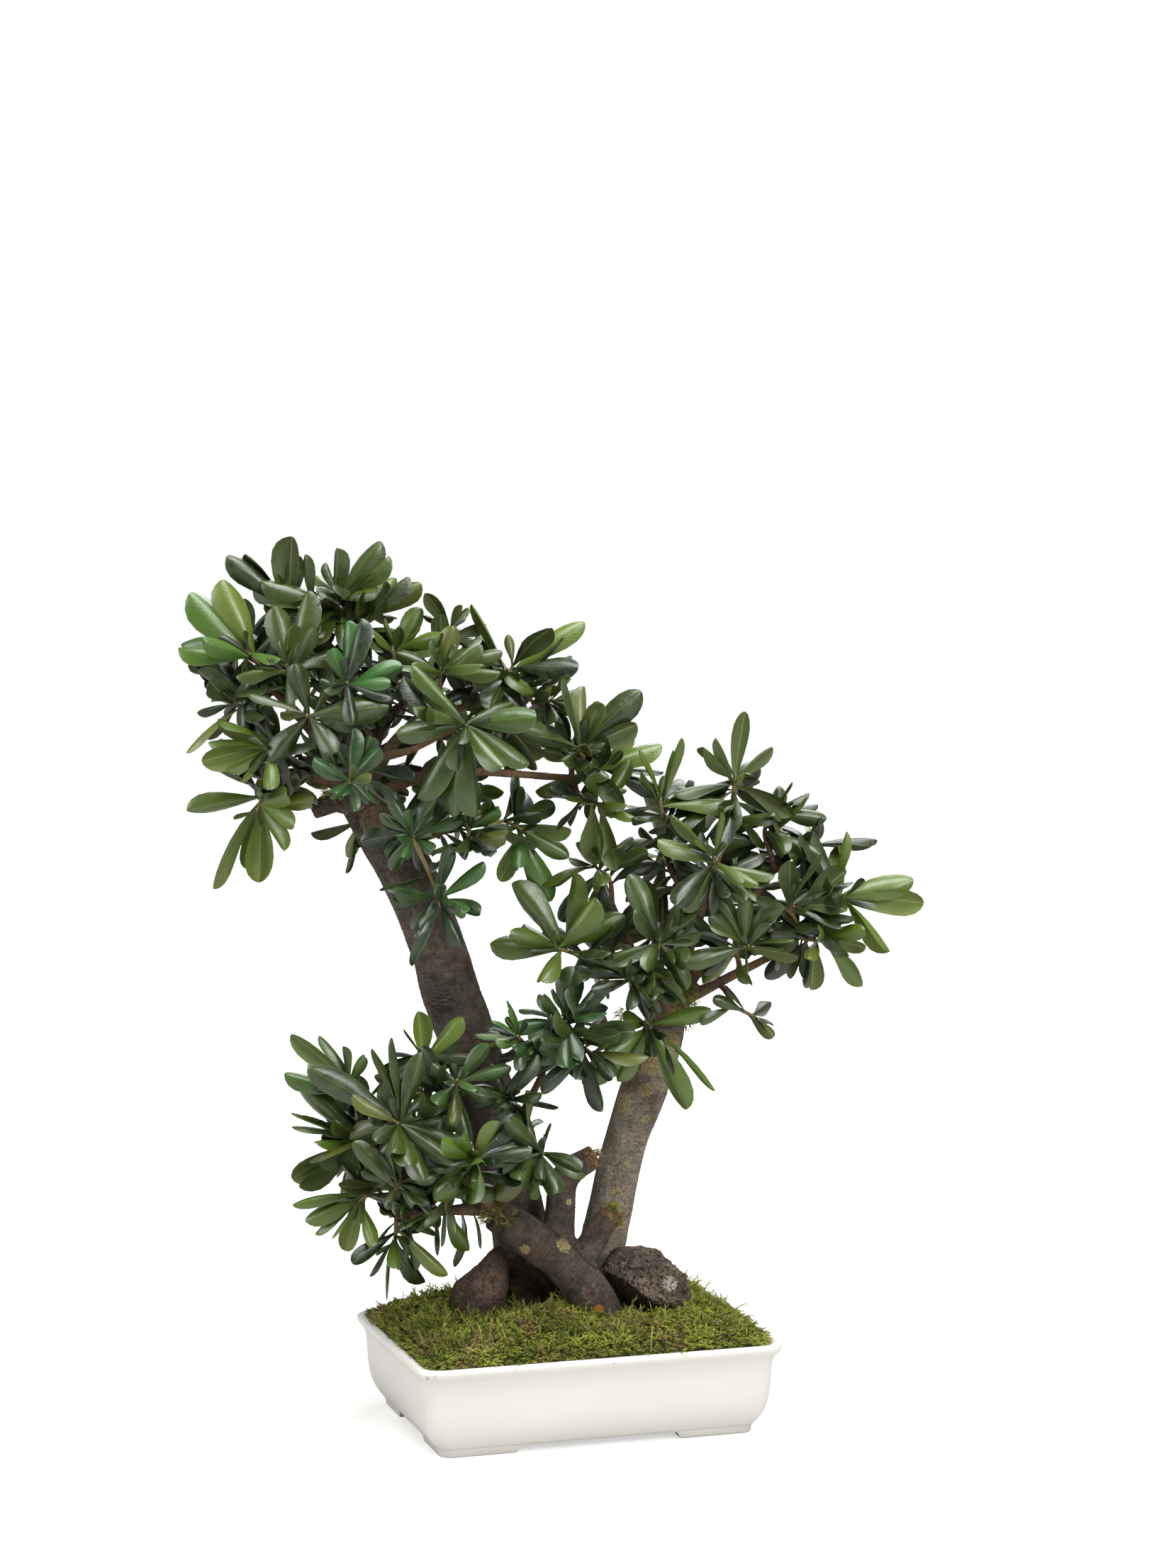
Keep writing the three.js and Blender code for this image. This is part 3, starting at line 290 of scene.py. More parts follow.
def stackRings(rings):
    # joins rings of points into one closed skin
    count = len(rings[0])
    faces = []
    for row in range(len(rings) - 1):
        for k in range(count):
            a, b = row * count + k, row * count + (k + 1) % count
            faces.append((a, b, b + count, a + count))
    faces.append(tuple(reversed(range(count))))
    faces.append(tuple(range((len(rings) - 1) * count, len(rings) * count)))
    return [point for ring in rings for point in ring], faces


def cutArch(body, width, reach, turned):
    # a bar with slanted ends that is taken out of the foot ring
    bpy.ops.mesh.primitive_cube_add(size=1)
    bar = bpy.context.object
    half = width / 2
    for vertex in bar.data.vertices:
        low = vertex.co.z < 0
        x = math.copysign(half + (tray["archSplay"] if low else 0), vertex.co.x)
        y = math.copysign(reach, vertex.co.y)
        place = Vector((y, x, 0)) if turned else Vector((x, y, 0))
        place.z = -1 if low else tray["footHeight"]
        vertex.co = toTray @ place
    if turned:
        bar.data.flip_normals()
    cut = body.modifiers.new("arch", "BOOLEAN")
    cut.operation = "DIFFERENCE"
    cut.solver = "EXACT"
    cut.object = bar
    applyAll(body)
    bpy.data.objects.remove(bar)


def makeTray():
    rings = [trayRing(inset, z) for inset, z in tray["outside"] + tray["inside"]]
    piece = makeMesh("tray_glazed", *stackRings(rings), toTray)
    cutArch(piece, tray["archWide"], tray["halfY"] + tray["barPast"], False)
    cutArch(piece, tray["archNarrow"], tray["halfX"] + tray["barPast"], True)
    rim = piece.modifiers.new("softEdge", "BEVEL")
    rim.width = tray["edge"] * mm
    rim.segments = 2
    rim.limit_method = "ANGLE"
    rim.angle_limit = math.radians(38)
    applyAll(piece)
    softEdges(piece, 40)
    return piece


def glazeFinish():
    glaze = Recipe("creamGlaze")
    cloudy = glaze.band(glaze.clouds(glaze.place, 9, 3), 0.3, 0.7)
    glaze.colour = glaze.blend(cloudy, (219, 217, 212), (217, 214, 208))
    specks = glaze.band(glaze.cells(glaze.place, 70), 0.03, 0.05, 0.8, 0.0)
    glaze.cover(glaze.times(specks, glaze.band(glaze.clouds(glaze.place, 23, 1), 0.6, 0.66)), (176, 160, 132))
    ragged = glaze.band(glaze.clouds(glaze.place, 520, 2), 0.42, 0.52)
    for x, y, z, radius in tray["chips"]:
        glaze.cover(glaze.times(glaze.near((x, y, z), radius, 0.4, toTray), ragged), (172, 158, 136))
    glaze.relief((glaze.clouds(glaze.place, 60, 3), 0.0006, 0.35))
    return glaze.finish(rough=glaze.band(cloudy, 0, 1, 0.33, 0.42), shine=0.45, coat=0.25, coatRough=0.22)


trayPiece = makeTray()
trayPiece.data.materials.append(glazeFinish())
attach(trayPiece, "root")
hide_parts("tray")
print("tray made")

# Soil keeps its solid
earth = Recipe("darkSoil")
earthGrain = earth.clouds(earth.place, 260, 6, 0.7)
earth.relief((earthGrain, 0.002, 1.0))
earth.colour = earth.blend(earth.band(earthGrain, 0.35, 0.7), (40, 29, 20), (96, 74, 52))
earthMaterial = earth.finish(rough=0.95)
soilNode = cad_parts["soil"]
soilNode.data.materials.clear()
soilNode.data.materials.append(earthMaterial)

# The wood's centre lines, in millimetres of the tree's own frame: x, y, z and radius
trunks = {
    "main": [(-20, 32, 24, 22), (-27, 30, 85, 21.5), (-33, 28, 128, 20), (-49, 24, 200, 19.5),
             (-67, 19, 262, 20), (-81.5, 15, 303, 21.5), (-90, 11, 335, 19.5), (-109, 6, 385, 19.5),
             (-134, 2, 428, 18.5), (-152, 0, 455, 14)],
    "right": [(20, 38, 24, 17.5), (23, 37, 85, 17.3), (29.5, 34, 132, 15.8), (42.5, 28, 192, 15.5),
              (57, 22, 236, 16.5), (69, 16, 272, 15.5), (77, 12, 302, 13)],
    "low": [(30, -20, 44, 17), (22, -23, 88, 15.5), (0, -27, 117, 14.5), (-18, -29, 131, 13.5),
            (-38, -33, 146, 12.5), (-50, -35, 154, 11.5)],
}
stubs = {
    "main": [[(-152, 0, 446, 8), (-172, -5, 437, 5.5), (-178, -6, 434, 4.5)]],
    "right": [],
    "low": [[(-5, -24, 122, 11.5), (-3, -16, 152, 10.5), (1, -11, 176, 10), (21.5, -8, 190.5, 8.5)],
            [(7, -22, 110, 10.5), (20, -18, 132, 9.5), (33, -14, 150, 8.5)]],
}
limbs = {
    "main": [[(-148, 0, 450, 7), (-180, -12, 495, 5), (-212, -18, 530, 3.5)],
             [(-146, 0, 450, 7), (-153, -10, 505, 5), (-155, -8, 556, 3.5)],
             [(-142, 0, 448, 7), (-112, -12, 492, 5), (-52, -14, 515, 3.5)],
             [(-140, -2, 444, 6.5), (-90, -18, 463, 4.5), (4, -20, 460, 3)],
             [(-144, -4, 446, 6.5), (-132, -40, 472, 4.5), (-104, -62, 482, 3.2)],
             [(-144, 4, 446, 6.5), (-140, 38, 468, 4.5), (-132, 58, 492, 3.2)],
             [(-134, -4, 432, 6), (-112, -34, 428, 4), (-90, -44, 408, 3)],
             [(-148, -2, 448, 6.5), (-180, -14, 462, 4.5), (-202, -16, 464, 3)]],
    "right": [[(75, 12, 296, 6.5), (92, 2, 350, 5), (112, -8, 416, 3.2)],
              [(75, 12, 294, 6.5), (112, 4, 314, 4.5), (164, -8, 342, 3)],
              [(73, 12, 292, 6.5), (48, -4, 334, 4.5), (30, -8, 376, 3)],
              [(74, 8, 290, 6), (70, -24, 306, 4.5), (78, -40, 332, 3)],
              [(76, 16, 292, 6), (86, 36, 322, 4.5), (92, 46, 352, 3)],
              [(77, 12, 296, 6), (118, 8, 352, 4.5), (148, 4, 392, 3)]],
    "low": [[(-48, -35, 157, 6.5), (-82, -42, 174, 4.5), (-130, -42, 196, 3)],
            [(-49, -35, 158, 6.5), (-78, -38, 196, 4.5), (-96, -36, 240, 3)],
            [(-49, -36, 157, 6), (-84, -44, 158, 4.5), (-116, -44, 152, 3)],
            [(-42, -35, 155, 6), (-40, -48, 200, 4.5), (-14, -48, 258, 3)],
            [(-48, -37, 157, 6), (-58, -58, 172, 4.5), (-66, -66, 182, 3)],
            [(-50, -33, 158, 6), (-86, -14, 178, 4), (-104, 2, 192, 3)]],
}
# Whorls: tip of the shoot, the way it points, number of leaves and their length, then the tips of the leaves
# that show in front: x and z as the eye sees them against the plane y = 0, the width in hundredths of the
# length, and the side turned to the eye where it isn't the upper one: -1 the lower, 0 the edge.
# A second or third whorl in a row sits on a side twig of the first.
eye = np.array((26.6, -2300, 607.4))
whorls = {"main": [
    [(-160, -5, 589, 0.1, -0.1, 1, 7, 50, [(-214, 598, 38), (-161, 620, 34), (-130, 626, 36),
         (-125, 617, 36), (-131, 591, 30), (-188, 573, 38), (-174, 602, 40, -1)]),
     (-198, 6, 584, -0.15, 0.1, 1, 6, 44, [(-191, 629, 44, -1), (-199, 622, 38, -1), (-224, 618, 36, -1),
         (-234, 608, 38), (-207, 622, 30, 0)])],
    [(-222, -25, 549, -0.6, -0.35, 0.7, 7, 50, [(-264, 590, 40), (-240, 600, 40), (-255, 558, 38),
         (-273, 553, 36), (-270, 545, 30), (-201, 544, 30), (-226, 546, 45, -1)]),
     (-240, 14, 556, -0.7, 0.2, 0.6, 5, 42, [(-250, 570, 40, -1), (-243, 590, 40, -1)])],
    [(-192, -48, 540, -0.3, -0.6, 0.75, 6, 46, [(-209, 578, 40), (-184, 590, 36), (-178, 564, 34),
         (-220, 596, 42), (-227, 597, 36, -1)])],
    [(-136, 6, 579, 0.5, 0.1, 0.85, 5, 46, [(-111, 602, 36), (-102, 598, 38), (-121, 572, 36, -1),
         (-144, 593, 34)])],
    [(-148, -72, 529, 0.1, -0.9, 0.4, 9, 34, [(-154, 570, 42), (-139, 566, 46), (-164, 550, 44),
         (-114, 537, 38), (-123, 526, 38), (-123, 518, 34), (-170, 521, 40), (-149, 496, 42),
         (-143, 570, 40)])],
    [(-117, -24, 550, 0.3, -0.3, 0.9, 6, 46, [(-100, 578, 38), (-81, 574, 34), (-89, 554, 38),
         (-135, 564, 32), (-75, 562, 42)])],
    [(-85, -48, 538, 0.1, -0.55, 0.8, 6, 44, [(-81, 568, 44), (-63, 558, 36), (-44, 548, 30),
         (-48, 537, 30), (-107, 537, 30)]),
     (-80, -10, 566, 0.4, 0, 0.9, 5, 34, [(-56, 568, 34, -1), (-68, 578, 20, -1), (-92, 573, 40)])],
    [(-36, -12, 540, 0.35, -0.2, 0.9, 6, 54, [(-65, 581, 22, -1), (13, 571, 30), (-61, 562, 30, -1),
         (-2, 537, 40, -1), (7, 538, 40)]),
     (-8, -22, 514, 0.7, -0.35, 0.1, 6, 42, [(-11, 525, 50), (17, 502, 24, 0), (-11, 510, 40, -1),
         (-42, 534, 40), (3, 530, 20, 0), (2, 508, 46, -1)])],
    [(-66, -82, 500, 0.1, -1, 0, 9, 54, [(-107, 509, 36), (-119, 490, 36), (-106, 444, 40), (-79, 430, 38),
         (-62, 430, 34), (-20, 502, 42), (-24, 469, 36), (-44, 466, 40), (-109, 538, 26)])],
    [(-176, -74, 506, -0.1, -0.95, 0.1, 6, 42, [(-191, 539, 40), (-208, 469, 42), (-163, 477, 42),
         (-224, 519, 26, 0), (-201, 505, 30, -1), (-124, 509, 38)])],
    [(-234, -22, 512, -0.85, -0.35, 0.05, 6, 46, [(-269, 477, 24, 0), (-248, 530, 40, -1),
         (-248, 517, 36, -1), (-256, 487, 30, -1), (-257, 541, 40, -1)])],
    [(-206, -54, 482, -0.75, -0.6, -0.2, 6, 42, [(-244, 503, 44, -1), (-257, 470, 36, -1),
         (-240, 464, 30, -1), (-230, 456, 26, 0), (-209, 450, 36), (-264, 477, 30, 0)])],
    [(-146, -78, 460, 0.1, -1, -0.1, 6, 36, [(-149, 435, 34), (-130, 479, 40), (-150, 494, 42),
         (-178, 472, 40), (-161, 448, 46), (-137, 459, 30)])],
    [(14, -42, 482, 0.6, -0.65, 0.35, 7, 46, [(54, 520, 34), (49, 508, 38, -1), (-2, 471, 38),
         (1, 530, 26, 0), (28, 510, 40, -1), (-22, 491, 30, 0), (15, 483, 50, -1)]),
     (30, -8, 466, 0.9, 0.1, 0.2, 5, 42, [(68, 483, 40), (48, 489, 38, -1), (50, 473, 26),
         (70, 463, 26, 0)])],
    [(-216, -22, 436, -0.35, -0.25, -0.95, 7, 52, [(-268, 435, 30), (-251, 380, 20, 0), (-217, 384, 36, -1),
         (-199, 407, 36), (-197, 447, 36), (-235, 412, 30, -1), (-225, 394, 30, -1)])],
    [(-104, -62, 420, 0.1, -0.9, -0.25, 6, 36, [(-90, 444, 40), (-119, 417, 42), (-72, 432, 30),
         (-94, 407, 36), (-114, 403, 36), (-111, 436, 30)]),
     (-86, -52, 372, 0.25, -0.5, -0.85, 5, 42, [(-106, 345, 36), (-73, 338, 36), (-60, 363, 34),
         (-89, 382, 36)])],
    [(-64, -52, 420, 0.25, -0.8, -0.45, 6, 36, [(-47, 437, 36), (-41, 424, 40), (-61, 420, 36),
         (-44, 412, 40), (-79, 407, 30)]),
     (-28, -22, 422, 0.7, -0.3, -0.4, 6, 40, [(-7, 439, 44, -1), (5, 422, 42, -1), (3, 402, 36),
         (9, 408, 30, -1), (-34, 395, 42), (-46, 385, 40, -1)])],
    [(28, -28, 442, 0.9, -0.3, -0.05, 6, 36, [(3, 456, 50, -1), (24, 397, 56, -1), (43, 440, 36),
         (-1, 468, 20, 0), (35, 400, 34, -1)])],
    [(-150, 36, 420, -0.4, 0.5, -0.75, 5, 38, [])],
    [(-182, 60, 525, -0.4, 0.8, 0.4, 6, 46, []),
     (-212, 54, 472, -0.75, 0.6, -0.2, 5, 44, [])],
    [(-112, 70, 520, 0.1, 0.9, 0.45, 5, 46, [])],
    [(-46, 54, 498, 0.5, 0.75, 0.35, 5, 46, [])],
    [(-150, 78, 468, -0.1, 1, -0.1, 5, 44, [])],
    [(-76, 58, 442, 0.4, 0.75, -0.5, 5, 42, [])],
], "right": [
    [(-6, -35, 342, -0.7, -0.6, 0.3, 7, 50, [(-39, 383, 34), (5, 392, 34, -1), (-54, 342, 40),
         (-39, 348, 30), (-18, 315, 42), (21, 374, 46), (43, 361, 38)])],
    [(66, -55, 350, 0, -0.8, 0.5, 6, 40, [(51, 367, 46), (93, 375, 44), (100, 360, 42, -1), (25, 330, 34),
         (52, 391, 36), (58, 322, 40)]),
     (42, -56, 322, -0.7, -0.7, 0, 6, 38, [(9, 326, 28), (19, 308, 30), (45, 294, 40), (61, 305, 26),
         (57, 319, 34)])],
    [(60, -32, 285, 0.1, -0.95, -0.1, 7, 46, [(72, 326, 32), (43, 285, 44), (104, 294, 32), (36, 242, 36),
         (85, 221, 34), (28, 263, 36), (108, 236, 18, 0)])],
    [(104, -60, 408, 0, -0.75, 0.65, 7, 46, [(149, 391, 28), (75, 433, 22, 0), (66, 416, 40),
         (137, 383, 28), (125, 385, 28), (92, 415, 22, 0), (109, 435, 22, 0)])],
    [(120, -12, 462, 0.1, -0.2, 1, 6, 50, [(127, 506, 24, -1), (108, 487, 28), (146, 481, 30, -1),
         (126, 463, 44), (93, 445, 44, -1), (132, 454, 40, -1)])],
    [(160, -34, 371, 0.6, -0.7, 0.4, 6, 46, [(206, 362, 34, -1), (204, 386, 18, 0), (179, 406, 26, 0),
         (159, 401, 44, -1), (137, 372, 26), (197, 353, 24, 0)]),
     (198, -14, 375, 0.95, -0.1, 0.2, 5, 54, [(247, 387, 34), (244, 378, 34, -1), (198, 421, 28, 0),
         (196, 411, 36, -1)]),
     (184, -16, 344, 0.9, -0.2, -0.1, 5, 46, [(230, 353, 30, -1), (174, 308, 36, -1), (173, 331, 36)])],
    [(128, -48, 345, 0.4, -0.85, 0.2, 6, 44, [(166, 332, 34, -1), (163, 346, 34, -1), (129, 372, 32),
         (106, 375, 36), (128, 319, 18, 0), (103, 355, 26, 0)])],
    [(150, -2, 438, 0.5, -0.1, 0.85, 6, 46, [(178, 442, 40, -1), (151, 454, 40, -1), (136, 450, 42, -1),
         (160, 456, 20, 0), (123, 427, 40, -1), (146, 428, 42, -1)])],
    [(180, 10, 412, 0.7, 0.1, 0.7, 5, 42, [(177, 432, 22, 0), (184, 408, 24, 0), (173, 425, 30, -1),
         (205, 407, 24, 0)])],
    [(66, -25, 446, -0.2, -0.4, 0.9, 6, 40, [(74, 479, 24, 0), (76, 479, 20, 0), (55, 464, 20, 0),
         (93, 449, 36, -1), (72, 448, 42, -1), (47, 474, 24, 0)])],
    [(20, -10, 398, -0.6, -0.3, 0.6, 5, 44, [(21, 366, 40, -1), (58, 406, 30)])],
    [(136, -20, 290, 0.85, -0.3, -0.4, 4, 30, [(115, 312, 24, 0), (148, 274, 40)])],
    [(70, 45, 402, -0.2, 0.85, 0.5, 6, 46, []),
     (60, 50, 340, -0.4, 0.8, -0.1, 5, 44, [])],
    [(132, 48, 374, 0.4, 0.85, 0.2, 6, 46, [])],
], "low": [
    [(-114, -80, 226, -0.2, -0.95, 0.25, 9, 52, [(-183, 252, 28), (-136, 267, 20, 0), (-123, 274, 20, 0),
         (-101, 263, 30), (-65, 195, 24), (-73, 185, 22), (-80, 183, 22), (-124, 192, 44),
         (-111, 182, 46)])],
    [(-98, -38, 270, 0.1, -0.25, 0.95, 7, 40, [(-105, 293, 40, -1), (-73, 288, 36), (-125, 264, 30, -1),
         (-115, 280, 16, 0), (-63, 262, 30), (-81, 234, 34), (-122, 253, 34, -1)])],
    [(-152, -42, 246, -0.75, -0.35, 0.55, 6, 50, [(-195, 276, 26, -1), (-174, 276, 24, 0), (-200, 248, 34),
         (-182, 255, 40), (-187, 233, 36, -1), (-146, 248, 28)])],
    [(-152, -32, 204, -0.95, -0.2, -0.05, 7, 50, [(-191, 244, 28), (-190, 166, 40, -1), (-195, 172, 36, -1),
         (-195, 210, 22, 0), (-184, 221, 20, 0), (-183, 184, 24, 0), (-195, 221, 12, 0)])],
    [(-116, -80, 180, -0.2, -0.95, -0.2, 6, 30, [(-146, 177, 32), (-142, 187, 34), (-107, 154, 34),
         (-97, 155, 28), (-94, 144, 14, 0), (-152, 198, 34)])],
    [(-118, -50, 136, 0, -0.3, -0.95, 6, 44, [(-83, 103, 28), (-128, 84, 16, 0), (-152, 111, 36),
         (-113, 123, 30), (-141, 102, 24, 0)])],
    [(-144, -45, 164, -0.75, -0.35, -0.55, 7, 46, [(-186, 142, 34), (-180, 133, 26, 0), (-191, 150, 20, 0),
         (-156, 142, 44, -1), (-167, 129, 24, 0), (-156, 120, 36, -1), (-138, 123, 30)])],
    [(-82, -72, 164, -0.1, -0.6, -0.8, 5, 38, [(-90, 123, 20, 0), (-106, 134, 20, 0), (-77, 132, 20, 0),
         (-114, 130, 20, 0)])],
    [(-14, -68, 203, 0.35, -0.9, 0.05, 8, 46, [(-50, 157, 42), (11, 178, 30), (-6, 162, 40),
         (-27, 158, 40, -1), (-54, 184, 24), (-41, 214, 34), (-60, 189, 34), (-12, 213, 20, 0)]),
     (-38, -66, 241, 0.15, -0.9, 0.3, 6, 36, [(-4, 225, 26, 0), (-39, 237, 38), (-17, 233, 36),
         (-47, 224, 50, -1), (-56, 233, 34)])],
    [(-60, -86, 200, 0.05, -1, -0.1, 6, 42, [(-67, 154, 42), (-94, 156, 42), (-59, 185, 38), (-73, 202, 30),
         (-88, 199, 40)])],
    [(-74, -66, 254, 0.1, -0.8, 0.55, 5, 40, [(-53, 233, 38), (-91, 225, 44), (-54, 268, 36),
         (-38, 252, 30)])],
    [(2, -52, 296, 0.15, -0.6, 0.8, 8, 42, [(6, 325, 50), (22, 313, 36), (-15, 305, 34), (-23, 272, 46),
         (6, 253, 46), (42, 280, 22, 0), (29, 292, 32), (-17, 254, 44)]),
     (20, -52, 270, 0.6, -0.6, -0.3, 6, 50, [(27, 220, 32), (34, 245, 34), (10, 250, 36, -1),
         (-16, 233, 34), (48, 256, 20, 0)])],
    [(-32, -62, 284, -0.3, -0.75, 0.5, 6, 36, [(-32, 252, 44), (-58, 264, 42), (-64, 276, 20, 0),
         (-40, 301, 20, 0), (-39, 296, 20, 0), (-52, 287, 20, 0)])],
    [(-112, 14, 218, -0.5, 0.8, 0.3, 5, 46, []),
     (-120, 8, 168, -0.6, 0.7, -0.4, 5, 44, [])],
]}
partNames = ("main", "right", "low")
# A repeatable draw: factor and shift for its start and for each step
drawing = {"start": (7919, 17), "step": (1664525, 1013904223), "span": 4294967296}


def dice(seed):
    # gives a function that draws numbers from 0 to 1
    def follow(state, factor, shift):
        return (state * factor + shift) % drawing["span"]

    state = follow(seed, *drawing["start"])

    def roll():
        nonlocal state
        state = follow(state, *drawing["step"])
        return state / drawing["span"]

    roll()
    roll()
    return roll


def within(roll, least, spread):
    return least + spread * roll()


class SmoothLine:
    # a centripetal curve through points, the same as the solids follow
    def __init__(self, rows):
        self.points = [np.array(row[:3], float) for row in rows]
        self.radii = [row[3] for row in rows]

    def at(self, t):
        points, count = self.points, len(self.points)
        place = (count - 1) * min(max(t, 0), 1)
        first = min(int(place), count - 2)
        weight = place - first
        p1, p2 = points[first], points[first + 1]
        p0 = points[first - 1] if first > 0 else 2 * p1 - p2
        p3 = points[first + 2] if first + 2 < count else 2 * p2 - p1
        d0, d1, d2 = (np.linalg.norm(b - a) ** 0.5 for a, b in ((p0, p1), (p1, p2), (p2, p3)))
        m1 = ((p1 - p0) / d0 - (p2 - p0) / (d0 + d1) + (p2 - p1) / d1) * d1
        m2 = ((p2 - p1) / d1 - (p3 - p1) / (d1 + d2) + (p3 - p2) / d2) * d1
        return (p1 + m1 * weight + (-3 * p1 + 3 * p2 - 2 * m1 - m2) * weight ** 2
                + (2 * p1 - 2 * p2 + m1 + m2) * weight ** 3)

    def way(self, t):
        step = self.at(min(t + 1e-4, 1)) - self.at(max(t - 1e-4, 0))
        return step / np.linalg.norm(step)

    def radius(self, t):
        place = t * (len(self.radii) - 1)
        low = min(int(place), len(self.radii) - 2)
        return self.radii[low] + (self.radii[low + 1] - self.radii[low]) * (place - low)


def unit(v):
    v = np.asarray(v, float)
    return v / np.linalg.norm(v)


def levelSide(side, along, steep=0.9):
    # a direction square to a line, carried on from the last one
    if side is None:
        side = np.array((1.0, 0, 0)) if abs(along[2]) > steep else np.array((0, 0, 1.0))
    return unit(side - along * (side @ along))


shoots = {"length": 15, "radii": [1.5, 1.4, 0.9], "middle": 8, "overlap": 2, "sides": 6, "gap": 0.35,
          "twigRadii": [2.3, 2.2, 2.1, 2.0, 1.9, 1.8, 1.7, 1.6, 1.5], "twigSides": 7, "forkFrom": 8.25,
          "forkRadii": [1.7, 1.6, 1.55, 1.5, 1.45, 1.4, 1.4]}
# Where twigs may leave a limb, what a bend and a short way cost there, and how they curve
forks = {"places": (0.3, 0.45, 0.6, 0.75, 0.9, 1), "bendCost": 0.6, "short": 14, "shortCost": 60,
         "alongLimb": 0.5, "leave": 0.35, "arrive": 0.3}


def readWhorl(row):
    aim, tip = unit(row[3:6]), np.array(row[:3], float)
    return {"tip": tip, "aim": aim, "base": tip - aim * shoots["length"], "count": row[6], "length": row[7],
            "tips": row[8]}


def bestFork(limbRows, place):
    best = None
    for rows in limbRows:
        line = SmoothLine(rows)
        for t in forks["places"]:
            point = line.at(t)
            reach = np.linalg.norm(place - point)
            along = line.way(t)
            cost = reach * (1 + forks["bendCost"] * (1 - along @ (place - point) / reach))
            cost += forks["shortCost"] if reach < forks["short"] else 0
            if best is None or cost < best[0]:
                best = (cost, point, along)
    return best[1], best[2]


def twigPath(fork, along, base, aim, steps):
    reach = np.linalg.norm(base - fork)
    leave = unit(unit(base - fork) + along * forks["alongLimb"])
    corners = (fork, fork + leave * reach * forks["leave"], base - aim * reach * forks["arrive"], base)
    path = []
    for k in range(steps + 1):
        t = k / steps
        shares = ((1 - t) ** 3, 3 * t * (1 - t) ** 2, 3 * t ** 2 * (1 - t), t ** 3)
        path.append(sum(c * s for c, s in zip(corners, shares)))
    return path


class MeshPile:
    # gathers many small shapes for one mesh, each with its own points
    def __init__(self):
        self.points, self.faces, self.paints, self.kinds, self.total = [], [], [], [], 0

    def add(self, points, faces, paint, kinds):
        points = np.asarray(points, float)
        self.points.append(points)
        self.faces.extend(tuple(i + self.total for i in face) for face in faces)
        self.paints.append(np.broadcast_to(np.asarray(paint, float), (len(points), 3)))
        self.kinds.extend([kinds] * len(faces) if isinstance(kinds, int) else kinds)
        self.total += len(points)

    def tube(self, path, radii, sides, paint, kind):
        path = [np.asarray(p, float) for p in path]
        side = None
        rings = []
        for k, point in enumerate(path):
            along = unit(path[min(k + 1, len(path) - 1)] - path[max(k - 1, 0)])
            side = levelSide(side, along)
            across = np.cross(along, side)
            angles = [2 * math.pi * s / sides for s in range(sides)]
            rings.append([point + (side * math.cos(a) + across * math.sin(a)) * radii[k] for a in angles])
        self.add(*stackRings(rings), paint, kind)

    def piece(self, name, matrix, attribute, materials):
        made = makeMesh(name, np.concatenate(self.points), self.faces, matrix)
        paintPoints(made, attribute, np.concatenate(self.paints))
        for material in materials:
            made.data.materials.append(material)
        made.data.polygons.foreach_set("material_index", np.array(self.kinds, np.int32))
        made.data.update()
        return made


# Wood: the trunk with its limbs and stubs is skinned as one body, then given lumps and cracks
# each trunk's pale share picks its bark tones; the darker main and low trunks are partly their own colour and
# partly painted shade from the canopy over them
wood = {"voxel": 1.5, "even": 3, "limbThin": 0.8, "sampleStep": 2.0, "thin": 12, "leastDepth": 0.4,
        "nearest": 6, "lineGap": 300, "lump": 1.5, "lumpScale": 1 / 38,
        "ridge": 0.85, "ridgeScale": 1 / 9, "ridgeStretch": Vector((1, 1, 0.3)),
        "grain": 0.3, "grainScale": 0.5, "grainStretch": Vector((1, 1, 1.8)),
        "cutFrom": 0.9, "crust": 3.0, "ragged": 2, "raggedScale": 0.5, "cutFade": 2,
        "palenessAndShade": {"main": 0.22, "right": 1.0, "low": 0.12}, "limbPale": 0.35}


def spine(part):
    # samples of every centre line: place, way, side, across, run along it, radius, line number, share
    samples = []
    for number, rows in enumerate([trunks[part]] + stubs[part] + limbs[part]):
        line = SmoothLine(rows)
        length = sum(np.linalg.norm(b - a) for a, b in zip(line.points, line.points[1:]))
        steps = max(4, int(length / wood["sampleStep"]))
        side = None
        for k in range(steps + 1):
            t = k / steps
            along = line.way(t)
            side = levelSide(side, along)
            radius = line.radius(t) * (1 if number <= len(stubs[part]) else wood["limbThin"])
            samples.append((line.at(t), along, side, np.cross(along, side), t * length, radius, number, t))
    return samples


def skinTube(name, path, radii):
    # a curve with its own radius at every point, made a mesh
    curve = bpy.data.curves.new(name, "CURVE")
    curve.dimensions = "3D"
    curve.bevel_depth = 1.0
    curve.bevel_resolution = 6
    curve.use_fill_caps = True
    run = curve.splines.new("POLY")
    run.points.add(len(path) - 1)
    for spot, place, radius in zip(run.points, path, radii):
        spot.co = (*place, 1)
        spot.radius = radius
    rod = bpy.data.objects.new(name, curve)
    scene.collection.objects.link(rod)
    pick(rod)
    bpy.ops.object.convert(target="MESH")
    return bpy.context.object


def joinRods(part, samples):
    # trunk, stubs and limbs under one skin
    rods = []
    for number in sorted({s[6] for s in samples}):
        run = [s for s in samples if s[6] == number]
        rods.append(skinTube(f"rod_{part}_{number}", [s[0] for s in run], [s[5] for s in run]))
    bpy.ops.object.select_all(action="DESELECT")
    for rod in rods:
        rod.select_set(True)
    bpy.context.view_layer.objects.active = rods[0]
    bpy.ops.object.join()
    body = bpy.context.object
    body.name = body.data.name = f"wood_{part}"
    skin = body.modifiers.new("skin", "REMESH")
    skin.mode = "VOXEL"
    skin.voxel_size = wood["voxel"]
    even = body.modifiers.new("even", "SMOOTH")
    even.factor = 0.5
    even.iterations = wood["even"]
    applyAll(body)
    return body


